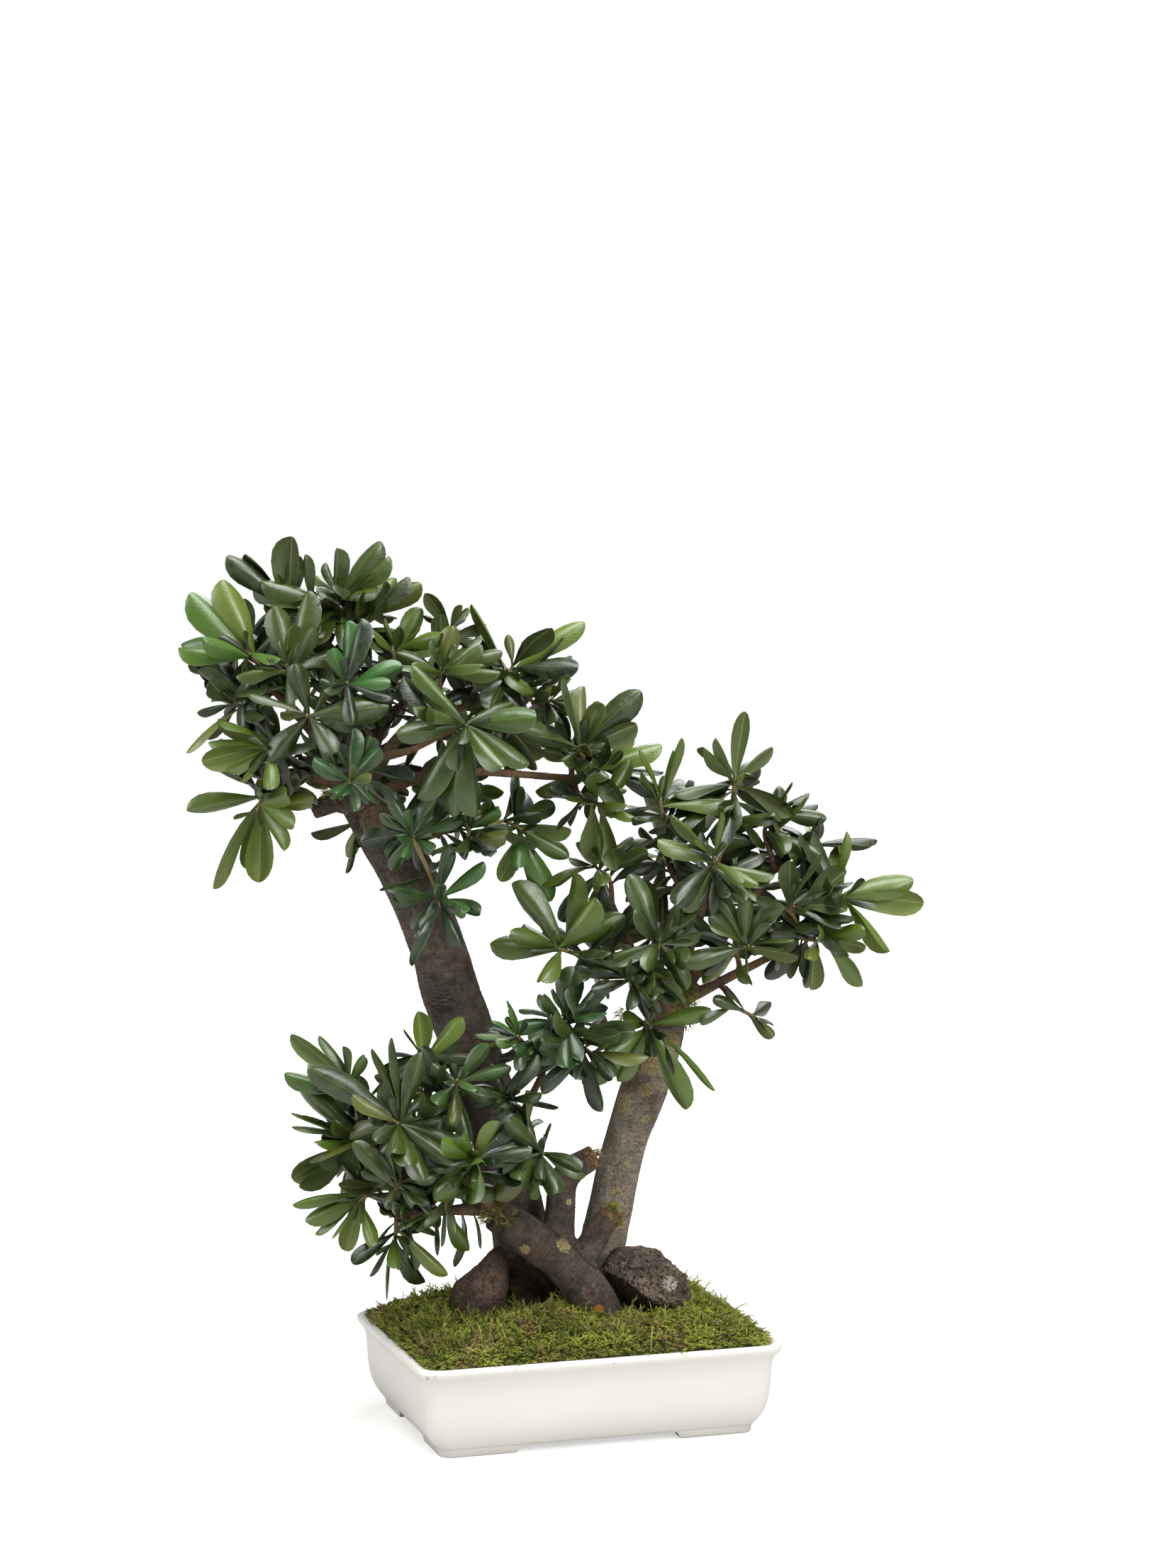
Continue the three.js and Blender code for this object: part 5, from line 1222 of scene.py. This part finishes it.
leafMaterials = [leafFinish("leafUpper", True), leafFinish("leafUnder", False), shootFinish()]
bladePoints, bladeFaces, bladeKinds = bladePattern()
seedCount = 0
for part in partNames:
    leaves, heads, seedCount = leavesOf(part, seedCount)
    found = len(leaves)
    pile, twigs = MeshPile(), MeshPile()
    paths = growTwigs(part, heads, pile, twigs)
    leaves += extraLeaves(heads, paths) + fillerLeaves(part, heads)
    if part == "low":
        for number, (foot, tip, up, bend, width) in enumerate(hangers):
            leaf = arcLeaf(np.array(foot, float), np.array(tip, float), np.array(up, float), bend / 2, width)
            leaves.append((leaf, leafNumbers["hanging"] + number, 0.5))
    tints = [np.zeros((pile.total, 3))]
    for leaf, number, emerald in leaves:
        roll = dice(number + 7)
        style = leafStyle(leaf, roll)
        inRow = number % leafNumbers["perHead"]
        # inner leaves, and the hanging ones numbered with them, get darker: painted shade inside the canopy
        isInner = inRow >= leafNumbers["inner"] and number < leafNumbers["lastInner"]
        green, worn = min(1, emerald + roll() * tinting["emerald"]), roll()
        brightAndShade = roll() ** tinting["brightPower"] * (tinting["innerPaintedShade"] if isInner else 1)
        shape = bendBlade(leaf, *bladePoints.T, style)
        paint = np.column_stack((bladePoints[:, 0], bladePoints[:, 1], np.full(len(shape), roll())))
        pile.add(shape, bladeFaces, paint, bladeKinds)
        tints.append(np.broadcast_to((green, worn, brightAndShade), (len(shape), 3)))
    foliage = pile.piece(f"foliage_{part}", toTree, "leafPlace", leafMaterials)
    paintPoints(foliage, "leafTintAndShade", np.concatenate(tints))
    softEdges(foliage, 55)
    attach(foliage, "root")
    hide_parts(*[f"leaves_{part}_{k + 1:02d}" for k in range(len(whorls[part]))])
    woodTwigs = twigs.piece(f"twigs_{part}", toTree, "woodState", [barkMaterial])
    paintPoints(woodTwigs, "grainWay", pointsOf(woodTwigs))
    softEdges(woodTwigs, 60)
    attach(woodTwigs, "root")
    print("leaves of", part, found, "of", sum(h["count"] for h in heads), "and", len(leaves) - found, "more")

# Rocks: porous lava, the solid's ball with flats, pits and crumbs
rocks = {
    "left": {"at": (-59, -13, 97), "size": (22, 21, 28), "lean": 0.35, "slope": 0, "taper": 0.35, "seed": 3,
             "flats": [((0.4, -0.7, 0.6), 0.66), ((-0.55, -0.83, -0.15), 0.6), ((-0.75, -0.05, 0.65), 0.7),
                       ((0.95, -0.1, 0.2), 0.78), ((-0.3, 0.9, 0.3), 0.8)], "pits": 0.014, "rough": 0.026,
             "tones": ((48, 39, 34), (82, 67, 56)), "lighter": (122, 102, 86), "share": 0.45},
    "right": {"at": (58.5, -2, 99.5), "size": (33, 18, 20.5), "lean": 0, "slope": -0.23, "taper": 0,
              "flats": [((0.05, -0.25, 1), 0.88), ((0.1, -0.9, 0.35), 0.78), ((0.97, -0.2, 0.1), 0.83),
                        ((-0.6, -0.5, -0.65), 0.74), ((0.65, 0, 0.75), 0.9)],
              "seed": 8, "pits": 0.04, "rough": 0.05,
              "tones": ((92, 79, 69), (130, 114, 99)), "lighter": (164, 148, 131), "share": 0.8},
}
# What both share, for a ball of radius 1; a pair is a scale and a share
rockForm = {"waves": (3.1, 2.7, 4.3), "swell": 1.05, "lump": 0.09, "flatten": 0.93, "scale": 2.4,
            "soft": 0.05, "crumbs": ((3.1, 1), (7, 0.6), (17, 0.35)), "warpScale": 2, "warp": 0.25,
            "pores": ((3.2, 1.0), (8.5, 0.6)), "poreSize": 0.32, "poreShape": 0.6}


def addBall(name, subdivisions):
    bpy.ops.mesh.primitive_ico_sphere_add(subdivisions=subdivisions, radius=1)
    piece = bpy.context.object
    piece.name = piece.data.name = name
    return piece


def rockPoint(stone, p, r):
    at, size, height = stone["at"], stone["size"], stone["size"][2]
    narrow = r * (1 - stone["taper"] * max(0, p.z))
    return Vector((at[0] + p.x * size[0] * narrow + stone["lean"] * p.z * height,
                   at[1] + p.y * size[1] * narrow,
                   at[2] + p.z * height * r + stone["slope"] * p.x * size[0]))


def makeRock(side):
    stone, form = rocks[side], rockForm
    piece = addBall(f"lava_{side}", 6)
    for vertex in piece.data.vertices:
        p = vertex.co.normalized()
        a, b, c = (wave * share for wave, share in zip(form["waves"], p))
        lump = math.sin(a + stone["seed"]) * math.cos(b - stone["seed"]) + math.sin(c + 2 * stone["seed"])
        r = form["swell"] + form["lump"] * lump
        for direction, limit in stone["flats"]:
            facing = p @ Vector(direction).normalized()
            if facing > 0 and r * facing > limit:
                r += (limit / facing - r) * form["flatten"]
        q = p * form["scale"] + Vector((stone["seed"],) * 3)
        crumbs = sum(share * noise.noise(q * scale) for scale, share in form["crumbs"])
        r += form["soft"] * noise.noise(q) + stone["rough"] * crumbs
        turned = q * form["warpScale"]
        warp = q + Vector((noise.noise(turned), noise.noise(turned + Vector((5, 5, 5))), 0)) * form["warp"]
        for scale, share in form["pores"]:
            hole = noise.voronoi(warp * scale)[0][0]
            r -= stone["pits"] * share * max(0, 1 - hole / form["poreSize"]) ** form["poreShape"]
        vertex.co = toTree @ rockPoint(stone, p, r)
    softEdges(piece, 70)
    return piece


def lavaFinish(side):
    lava, stone = Recipe(f"brownLava_{side}"), rocks[side]
    share = stone["share"]
    grain = lava.clouds(lava.place, 190, 9, 0.75)
    pits = lava.band(lava.clouds(lava.place, 430, 4, 0.6), 0.37, 0.47)
    small = lava.band(lava.clouds(lava.place, 1100, 4, 0.7), 0.36, 0.48)
    lava.colour = lava.blend(lava.band(lava.clouds(lava.place, 34), 0.38, 0.62), *stone["tones"])
    lava.layers((stone["lighter"], grain, 0.46, 0.72, 0.0, share), ((44, 36, 31), pits, 0, 1, share, 0.0),
                ((48, 39, 33), small, 0, 1, 0.6 * share, 0.0))
    if side == "right":
        patch = lava.times(lava.near((75.5, -19, 101.5), 8.5, 0.45), 0.5)
        streaks = lava.clouds(lava.place, 700, 6, 0.75, (1, 1, 0.5))
        lava.layers(((214, 207, 199), lava.maths("ADD", patch, streaks), 0.84, 1.05, 0.0, 0.85))
    else:
        upper = lava.near((-48, -18, 108), 24, 0.9)
        lava.cover(lava.times(upper, lava.band(grain, 0.35, 0.65, 0.15, 0.75)), (136, 118, 101))
        # a paler, pinkish edge between the two faces
        for x, z in ((-65, 108), (-61, 103), (-57, 98), (-53, 94)):
            edge = lava.near((x, -28, z), 6.5, 0.9)
            lava.cover(lava.times(edge, lava.band(grain, 0.4, 0.6, 0.2, 0.8)), (142, 116, 102))
    lava.relief((grain, 0.0022, 1.0), (pits, 0.0016, 1.0), (small, 0.0006, 1.0))
    return lava.finish(rough=0.93, shine=0.2)


for side in rocks:
    stonePiece = makeRock(side)
    stonePiece.data.materials.append(lavaFinish(side))
    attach(stonePiece, "root")
    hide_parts(f"rock_{side}")
print("rocks made")

# Dark root earth in the hollow between the left rock and the low branch
hollow = {"at": (-24, 13, 86), "size": (30, 17, 33), "crumb": 2.2, "middling": 26,
          "crumbs": ((3.2, 1), (1.4, 0.7), (9, 1.6))}


def makeRootEarth():
    piece = addBall("root_earth", 5)
    for vertex in piece.data.vertices:
        p = vertex.co.normalized()
        q = p * Vector(hollow["size"])
        crumbs = sum(share * noise.noise(q / size) for size, share in hollow["crumbs"])
        vertex.co = toTree @ (Vector(hollow["at"]) + q * (1 + hollow["crumb"] * crumbs / hollow["middling"]))
    softEdges(piece, 50)
    return piece


rootEarth = makeRootEarth()
rootEarth.data.materials.append(earthMaterial)
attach(rootEarth, "root")

# Moss: a clumpy bed, then feathery sprigs all over it
moss = {"edge": 62, "dome": 22, "bump": 1.6, "waves": (0.11, 0.13, 0.05, 0.07), "flatEdge": 6,
        "fullSide": 8, "leanSide": 4, "solidInset": 8, "inset": 9, "bottom": 54.4, "ringSteps": 12,
        "clumps": ((15, 0, 3.0), (6, 5, 1.2)), "clumpEdge": 1.3, "sink": 2.0, "edgeLift": 3.2,
        "liftPower": 12, "underStone": 0.75, "sprigs": 14400, "perPiece": 3600,
        "hollows": [(70, -18, 24, 6), (-62, -28, 24, 5), (26, -28, 18, 3), (-20, -4, 16, 4)],
        "trunkFeet": [(-27, 30, 19), (23, 37, 15), (27, -21, 14)], "strands": 0.1, "strandSlim": 0.45,
        "lengths": {"edge": (5, 4), "strand": (12, 7), "plain": (4.8, 4.4)},
        "shrinks": [1, 0.97, 0.93, 0.87, 0.8, 0.72, 0.63, 0.54, 0.45, 0.36, 0.27, 0.18, 0.09]}


def mossHeight(x, y):
    u, v = x / (tray["halfX"] - moss["solidInset"]), y / (tray["halfY"] - moss["solidInset"])
    dome = moss["dome"]
    for s in (u, v):
        dome *= max(0, 1 - s ** (moss["fullSide"] if s > 0 else moss["leanSide"]))
    a, b, c, d = moss["waves"]
    bumps = math.sin(x * a + 1) * math.cos(y * b) + math.sin(x * c - y * d)
    fade = max(0, 1 - (u ** moss["flatEdge"] + v ** moss["flatEdge"]))
    return moss["edge"] + dome + moss["bump"] * bumps * fade


treeInTray = Matrix.Rotation(-treeTurn, 4, "Z")  # a place of the tray as the tree's frame has it


def bedHeight(x, y):
    clump = sum(noise.noise(Vector((x, y, z)) / size) * depth for size, z, depth in moss["clumps"])
    spot = treeInTray @ Vector((x, y, 0))
    for cx, cy, reach, depth in moss["hollows"]:
        clump -= depth * math.exp(-((spot.x - cx) ** 2 + (spot.y - cy) ** 2) / reach ** 2)
    edge = max(abs(x) / (tray["halfX"] - moss["inset"]), abs(y) / (tray["halfY"] - moss["inset"]))
    lift = moss["edgeLift"] * min(1, edge) ** moss["liftPower"]
    return mossHeight(x, y) - moss["sink"] + clump * (moss["clumpEdge"] - edge) + lift


def makeMossBed():
    rings = [trayRing(moss["inset"], moss["bottom"], moss["ringSteps"])]
    for shrink in moss["shrinks"]:
        ring = [(x * shrink, y * shrink) for x, y, _ in rings[0]]
        rings.append([(x, y, bedHeight(x, y)) for x, y in ring])
    piece = makeMesh("moss_bed", *stackRings(rings), toTray)
    softEdges(piece, 60)
    return piece


def bedFinish():
    green = Recipe("mossBedding")
    grain = green.clouds(green.place, 420, 3)
    green.colour = green.blend(grain, (36, 40, 12), (88, 94, 32))
    green.layers(((84, 70, 40), green.clouds(green.place, 30, 3), 0.5, 0.62))
    green.relief((grain, 0.003, 1.0))
    return green.finish(rough=0.95)


def sprigFinish():
    green = Recipe("mossSprigs")
    tone, dead, tip = green.parts("mossTone")
    green.colour = green.blend(tone, (56, 62, 18), (100, 106, 34))
    green.layers((green.blend(tone, (116, 130, 38), (188, 194, 82)), tip, 0.05, 0.95))
    green.cover(dead, green.blend(tip, (90, 74, 40), (166, 142, 92)))
    # painted shade: darker patches here and there over the moss, then a darker fine grain
    green.layers(((62, 62, 22), green.clouds(green.place, 38), 0.4, 0.56, 0.4, 0.0),
                 ((44, 46, 14), green.clouds(green.place, 420, 3), 0.3, 0.7, 0.2, 0.0))
    return green.finish(rough=0.62, shine=0.35)


def sprigPattern():
    # a curling stem with side needles, about 1 long, along x and up z
    points = []
    for x, y, z, width in ((0, 0, 0, 0.06), (0.52, 0.03, 0.2, 0.055)):
        for s in range(3):
            angle = 2 * math.pi * s / 3 + 0.5
            points.append((x, y + math.cos(angle) * width, z + math.sin(angle) * width))
    points.append((1.0, 0, 0.1))
    faces = [(0, 1, 4, 3), (1, 2, 5, 4), (2, 0, 3, 5), (3, 4, 6), (4, 5, 6), (5, 3, 6), (2, 1, 0)]
    for k, (at, reach) in enumerate(((0.16, 0.26), (0.32, 0.28), (0.48, 0.27), (0.62, 0.24), (0.76, 0.19))):
        sign = -1 if k % 2 else 1
        z = 0.21 - 0.5 * abs(at - 0.55)
        base = len(points)
        points += [(at - 0.04, 0, z), (at + 0.06, sign * 0.015, z + 0.05),
                   (at + 0.06, sign * 0.015, z - 0.05),
                   (at + reach * 0.75, sign * reach * 0.8, z + 0.1 * ((k % 3) - 0.7))]
        for face in ((0, 1, 2), (0, 3, 1), (1, 3, 2), (2, 3, 0)):
            faces.append(tuple(base + i for i in face[::sign]))
    return np.array(points), faces


def insideRound(x, y, inset):
    halfX, halfY = tray["halfX"] - inset, tray["halfY"] - inset
    radius = cornerRadius(inset)
    dx, dy = max(0, abs(x) - halfX + radius), max(0, abs(y) - halfY + radius)
    return abs(x) <= halfX and abs(y) <= halfY and math.hypot(dx, dy) <= radius


def isUnderWood(x, y):
    spot = treeInTray @ Vector((x, y, 0))
    if any(math.hypot(spot.x - cx, spot.y - cy) < radius for cx, cy, radius in moss["trunkFeet"]):
        return True
    for stone in rocks.values():
        away = [(spot[k] - stone["at"][k]) / stone["size"][k] for k in (0, 1)]
        if away[0] ** 2 + away[1] ** 2 < moss["underStone"]:
            return True
    return False


def addSprig(pile, spot, azimuth, rise, spin, length, tone, dead, slim=1.0):
    turn = Matrix.Rotation(azimuth, 3, "Z") @ Matrix.Rotation(-rise, 3, "Y") @ Matrix.Rotation(spin, 3, "X")
    shape = (sprig[0] * length * (1, slim, slim)) @ np.array(turn).T + np.array(spot)
    tips = np.clip(sprig[0][:, 0] + np.abs(sprig[0][:, 1]), 0, 1)
    pile.add(shape, sprig[1], np.column_stack((np.full(len(tips), tone), np.full(len(tips), dead), tips)), 0)


# How the sprigs lie and how dry they are: those at the edge point outward, dead ones come in patches
growth = {"seed": 4242, "edgeFrom": 0.94, "endOut": 0.3, "edgeTurn": 2.2, "around": 6.283,
          "rise": (2, 62), "risePower": 1.6, "edgeRise": 0.6, "spin": 2, "sunk": 0.6, "heights": 2.4,
          "patchSize": 22, "patchFrom": 0.3, "patchShare": 0.65, "loneShare": 0.07, "dead": 0.9,
          "tone": 0.42, "toneAcross": 0.22, "toneSize": 18, "toneSpread": 0.7}


def makeSprigs():
    roll = dice(growth["seed"])
    least, spread = growth["rise"]
    piles, pile, made = [], MeshPile(), 0
    reachX, reachY = tray["halfX"] - moss["inset"] + 1, tray["halfY"] - moss["inset"] + 1
    while made < moss["sprigs"]:
        x, y = (roll() * 2 - 1) * reachX, (roll() * 2 - 1) * reachY
        if not insideRound(x, y, moss["inset"] - 1) or isUnderWood(x, y):
            continue
        made += 1
        atEdge = max(abs(x) / reachX, abs(y) / reachY) > growth["edgeFrom"]
        isSideways = abs(x) / tray["halfX"] > abs(y) / tray["halfY"]
        outward = math.atan2(y, x if isSideways else x * growth["endOut"])
        azimuth = outward + (roll() - 0.5) * growth["edgeTurn"] if atEdge else roll() * growth["around"]
        rise = math.radians(least + spread * roll() ** growth["risePower"])
        rise *= growth["edgeRise"] if atEdge else 1
        isStrand = roll() < moss["strands"]
        length = within(roll, *moss["lengths"]["edge" if atEdge else "strand" if isStrand else "plain"])
        inPatch = noise.noise(Vector((x, y, 9)) / growth["patchSize"]) > growth["patchFrom"]
        isDead = inPatch and roll() < growth["patchShare"] or roll() < growth["loneShare"]
        tone = growth["tone"] + growth["toneAcross"] * x / tray["halfX"]
        tone += noise.noise(Vector((x, y, 2)) / growth["toneSize"]) + (roll() - 0.5) * growth["toneSpread"]
        tone = min(1, max(0, tone))
        spot = (x, y, bedHeight(x, y) - growth["sunk"] + roll() * growth["heights"])
        addSprig(pile, spot, azimuth, rise, (roll() - 0.5) * growth["spin"], length, tone,
                 growth["dead"] if isDead else 0.0, moss["strandSlim"] if isStrand else 1.0)
        if made % moss["perPiece"] == 0:
            piles.append(pile)
            pile = MeshPile()
    return piles


# Tufts of moss and dry fibres on the wood, in the tree's frame: place, the way they face, radius, sprigs,
# fibres and the share that is dry
tufts = [((84, -4, 304), (0.3, -0.5, 1), 13, 330, 24, 0.2),
         ((74, -3, 296), (-0.3, -0.8, 0.4), 8, 70, 14, 0.6),
         ((44, 0, 291), (-0.9, -0.4, -0.2), 9, 24, 26, 0.7),
         ((86, -2, 286), (0.5, -0.6, -0.6), 7, 20, 14, 0.5),
         ((-166, -8, 446), (-0.5, -0.3, 1), 7, 70, 10, 0.3),
         ((-51, -42, 156), (-0.7, -0.5, 0.5), 11, 300, 20, 0.45),
         ((33, -15, 152), (0.3, -0.3, 1), 6, 170, 4, 0.25),
         ((36, -17, 146), (0.8, -0.8, -0.2), 5.5, 130, 6, 1.0),
         ((21, -10, 192), (0.9, -0.3, 0.3), 5, 60, 8, 1.0), ((-40, -45, 152), (0, -0.8, 0.6), 5, 60, 4, 0.5),
         ((-132, 7, 67), (-0.5, 0, 1), 7, 40, 10, 0.7)]
tuft = {"seed": 888, "reach": 0.62, "facing": 0.7, "away": 0.8, "around": 6.28, "length": (2.2, 2.8),
        "tone": (0.35, 0.65)}
fibre = {"radii": [0.26, 0.25, 0.24, 0.22, 0.18, 0.1], "from": 0.4, "spread": 1.1, "step": 0.22,
         "wander": 1.2, "pull": (0.5, 0.5, 0.8), "dryShare": 0.8, "sides": 3}


def makeTufts():
    roll = dice(tuft["seed"])
    pile = MeshPile()
    for place, way, radius, sprigCount, fibreCount, dryShare in tufts:
        way = unit(way)
        for _ in range(sprigCount):
            away = np.array((roll(), roll(), roll())) * 2 - 1
            spot = np.array(place) + away * radius * tuft["reach"]
            out = unit(way * tuft["facing"] + away * tuft["away"])
            azimuth, rise = math.atan2(out[1], out[0]), math.asin(out[2])
            addSprig(pile, spot, azimuth, rise, roll() * tuft["around"], within(roll, *tuft["length"]),
                     within(roll, *tuft["tone"]), growth["dead"] if roll() < dryShare else 0.0)
        for _ in range(fibreCount):
            out = unit(way + (np.array((roll(), roll(), roll())) * 2 - 1) * fibre["spread"])
            path = [np.array(place) + out * radius * fibre["from"]]
            while len(path) < len(fibre["radii"]):
                out = unit(out + (np.array((roll(), roll(), roll())) - fibre["pull"]) * fibre["wander"])
                path.append(path[-1] + out * radius * fibre["step"])
            dry = 0.9 if roll() < fibre["dryShare"] else 0.1
            pile.tube(path, fibre["radii"], fibre["sides"], (0.7, dry, 0.9), 0)
    return pile


# Loose bits on the moss, in the tray's frame: two dry straws, and sprigs that hang over the lip
straws = {"ends": [((33, -92, 66), (37, -84, 82)), ((-38, -40, 82), (-22, -44, 83))],
          "bow": 0.3, "radii": [0.5, 0.45, 0.35], "sides": 5}
overLip = {"at": [(54, -93.5), (56, -94), (57, -93.5), (-66, -93.8), (112, -93.8)], "height": 65,
           "length": 7, "tone": 0.7, "azimuth": -1.6, "sway": 0.3, "swayStep": 2.3, "rise": -0.25}


def makeStrays():
    pile = MeshPile()
    for foot, head in np.array(straws["ends"], float):
        path = [foot, (foot + head) / 2 + straws["bow"], head]
        pile.tube(path, straws["radii"], straws["sides"], (0.8, 0.9, 1), 0)
    for number, (x, y) in enumerate(overLip["at"]):
        azimuth = overLip["azimuth"] + overLip["sway"] * math.sin(number * overLip["swayStep"])
        rise = overLip["rise"] * (1 + number % 3)
        spot = (x, y, overLip["height"])
        addSprig(pile, spot, azimuth, rise, number, overLip["length"], overLip["tone"], 0)
    return pile


sprig = sprigPattern()
mossBed = makeMossBed()
mossBed.data.materials.append(bedFinish())
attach(mossBed, "root")
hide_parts("moss")
sprigMaterial = sprigFinish()
for number, pile in enumerate(makeSprigs()):
    sprigs = pile.piece(f"moss_sprigs_{number + 1}", toTray, "mossTone", [sprigMaterial])
    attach(sprigs, "root")
tuftPiece = makeTufts().piece("moss_tufts", toTree, "mossTone", [sprigMaterial])
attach(tuftPiece, "root")
strayPiece = makeStrays().piece("moss_strays", toTray, "mossTone", [sprigMaterial])
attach(strayPiece, "root")
print("moss made")
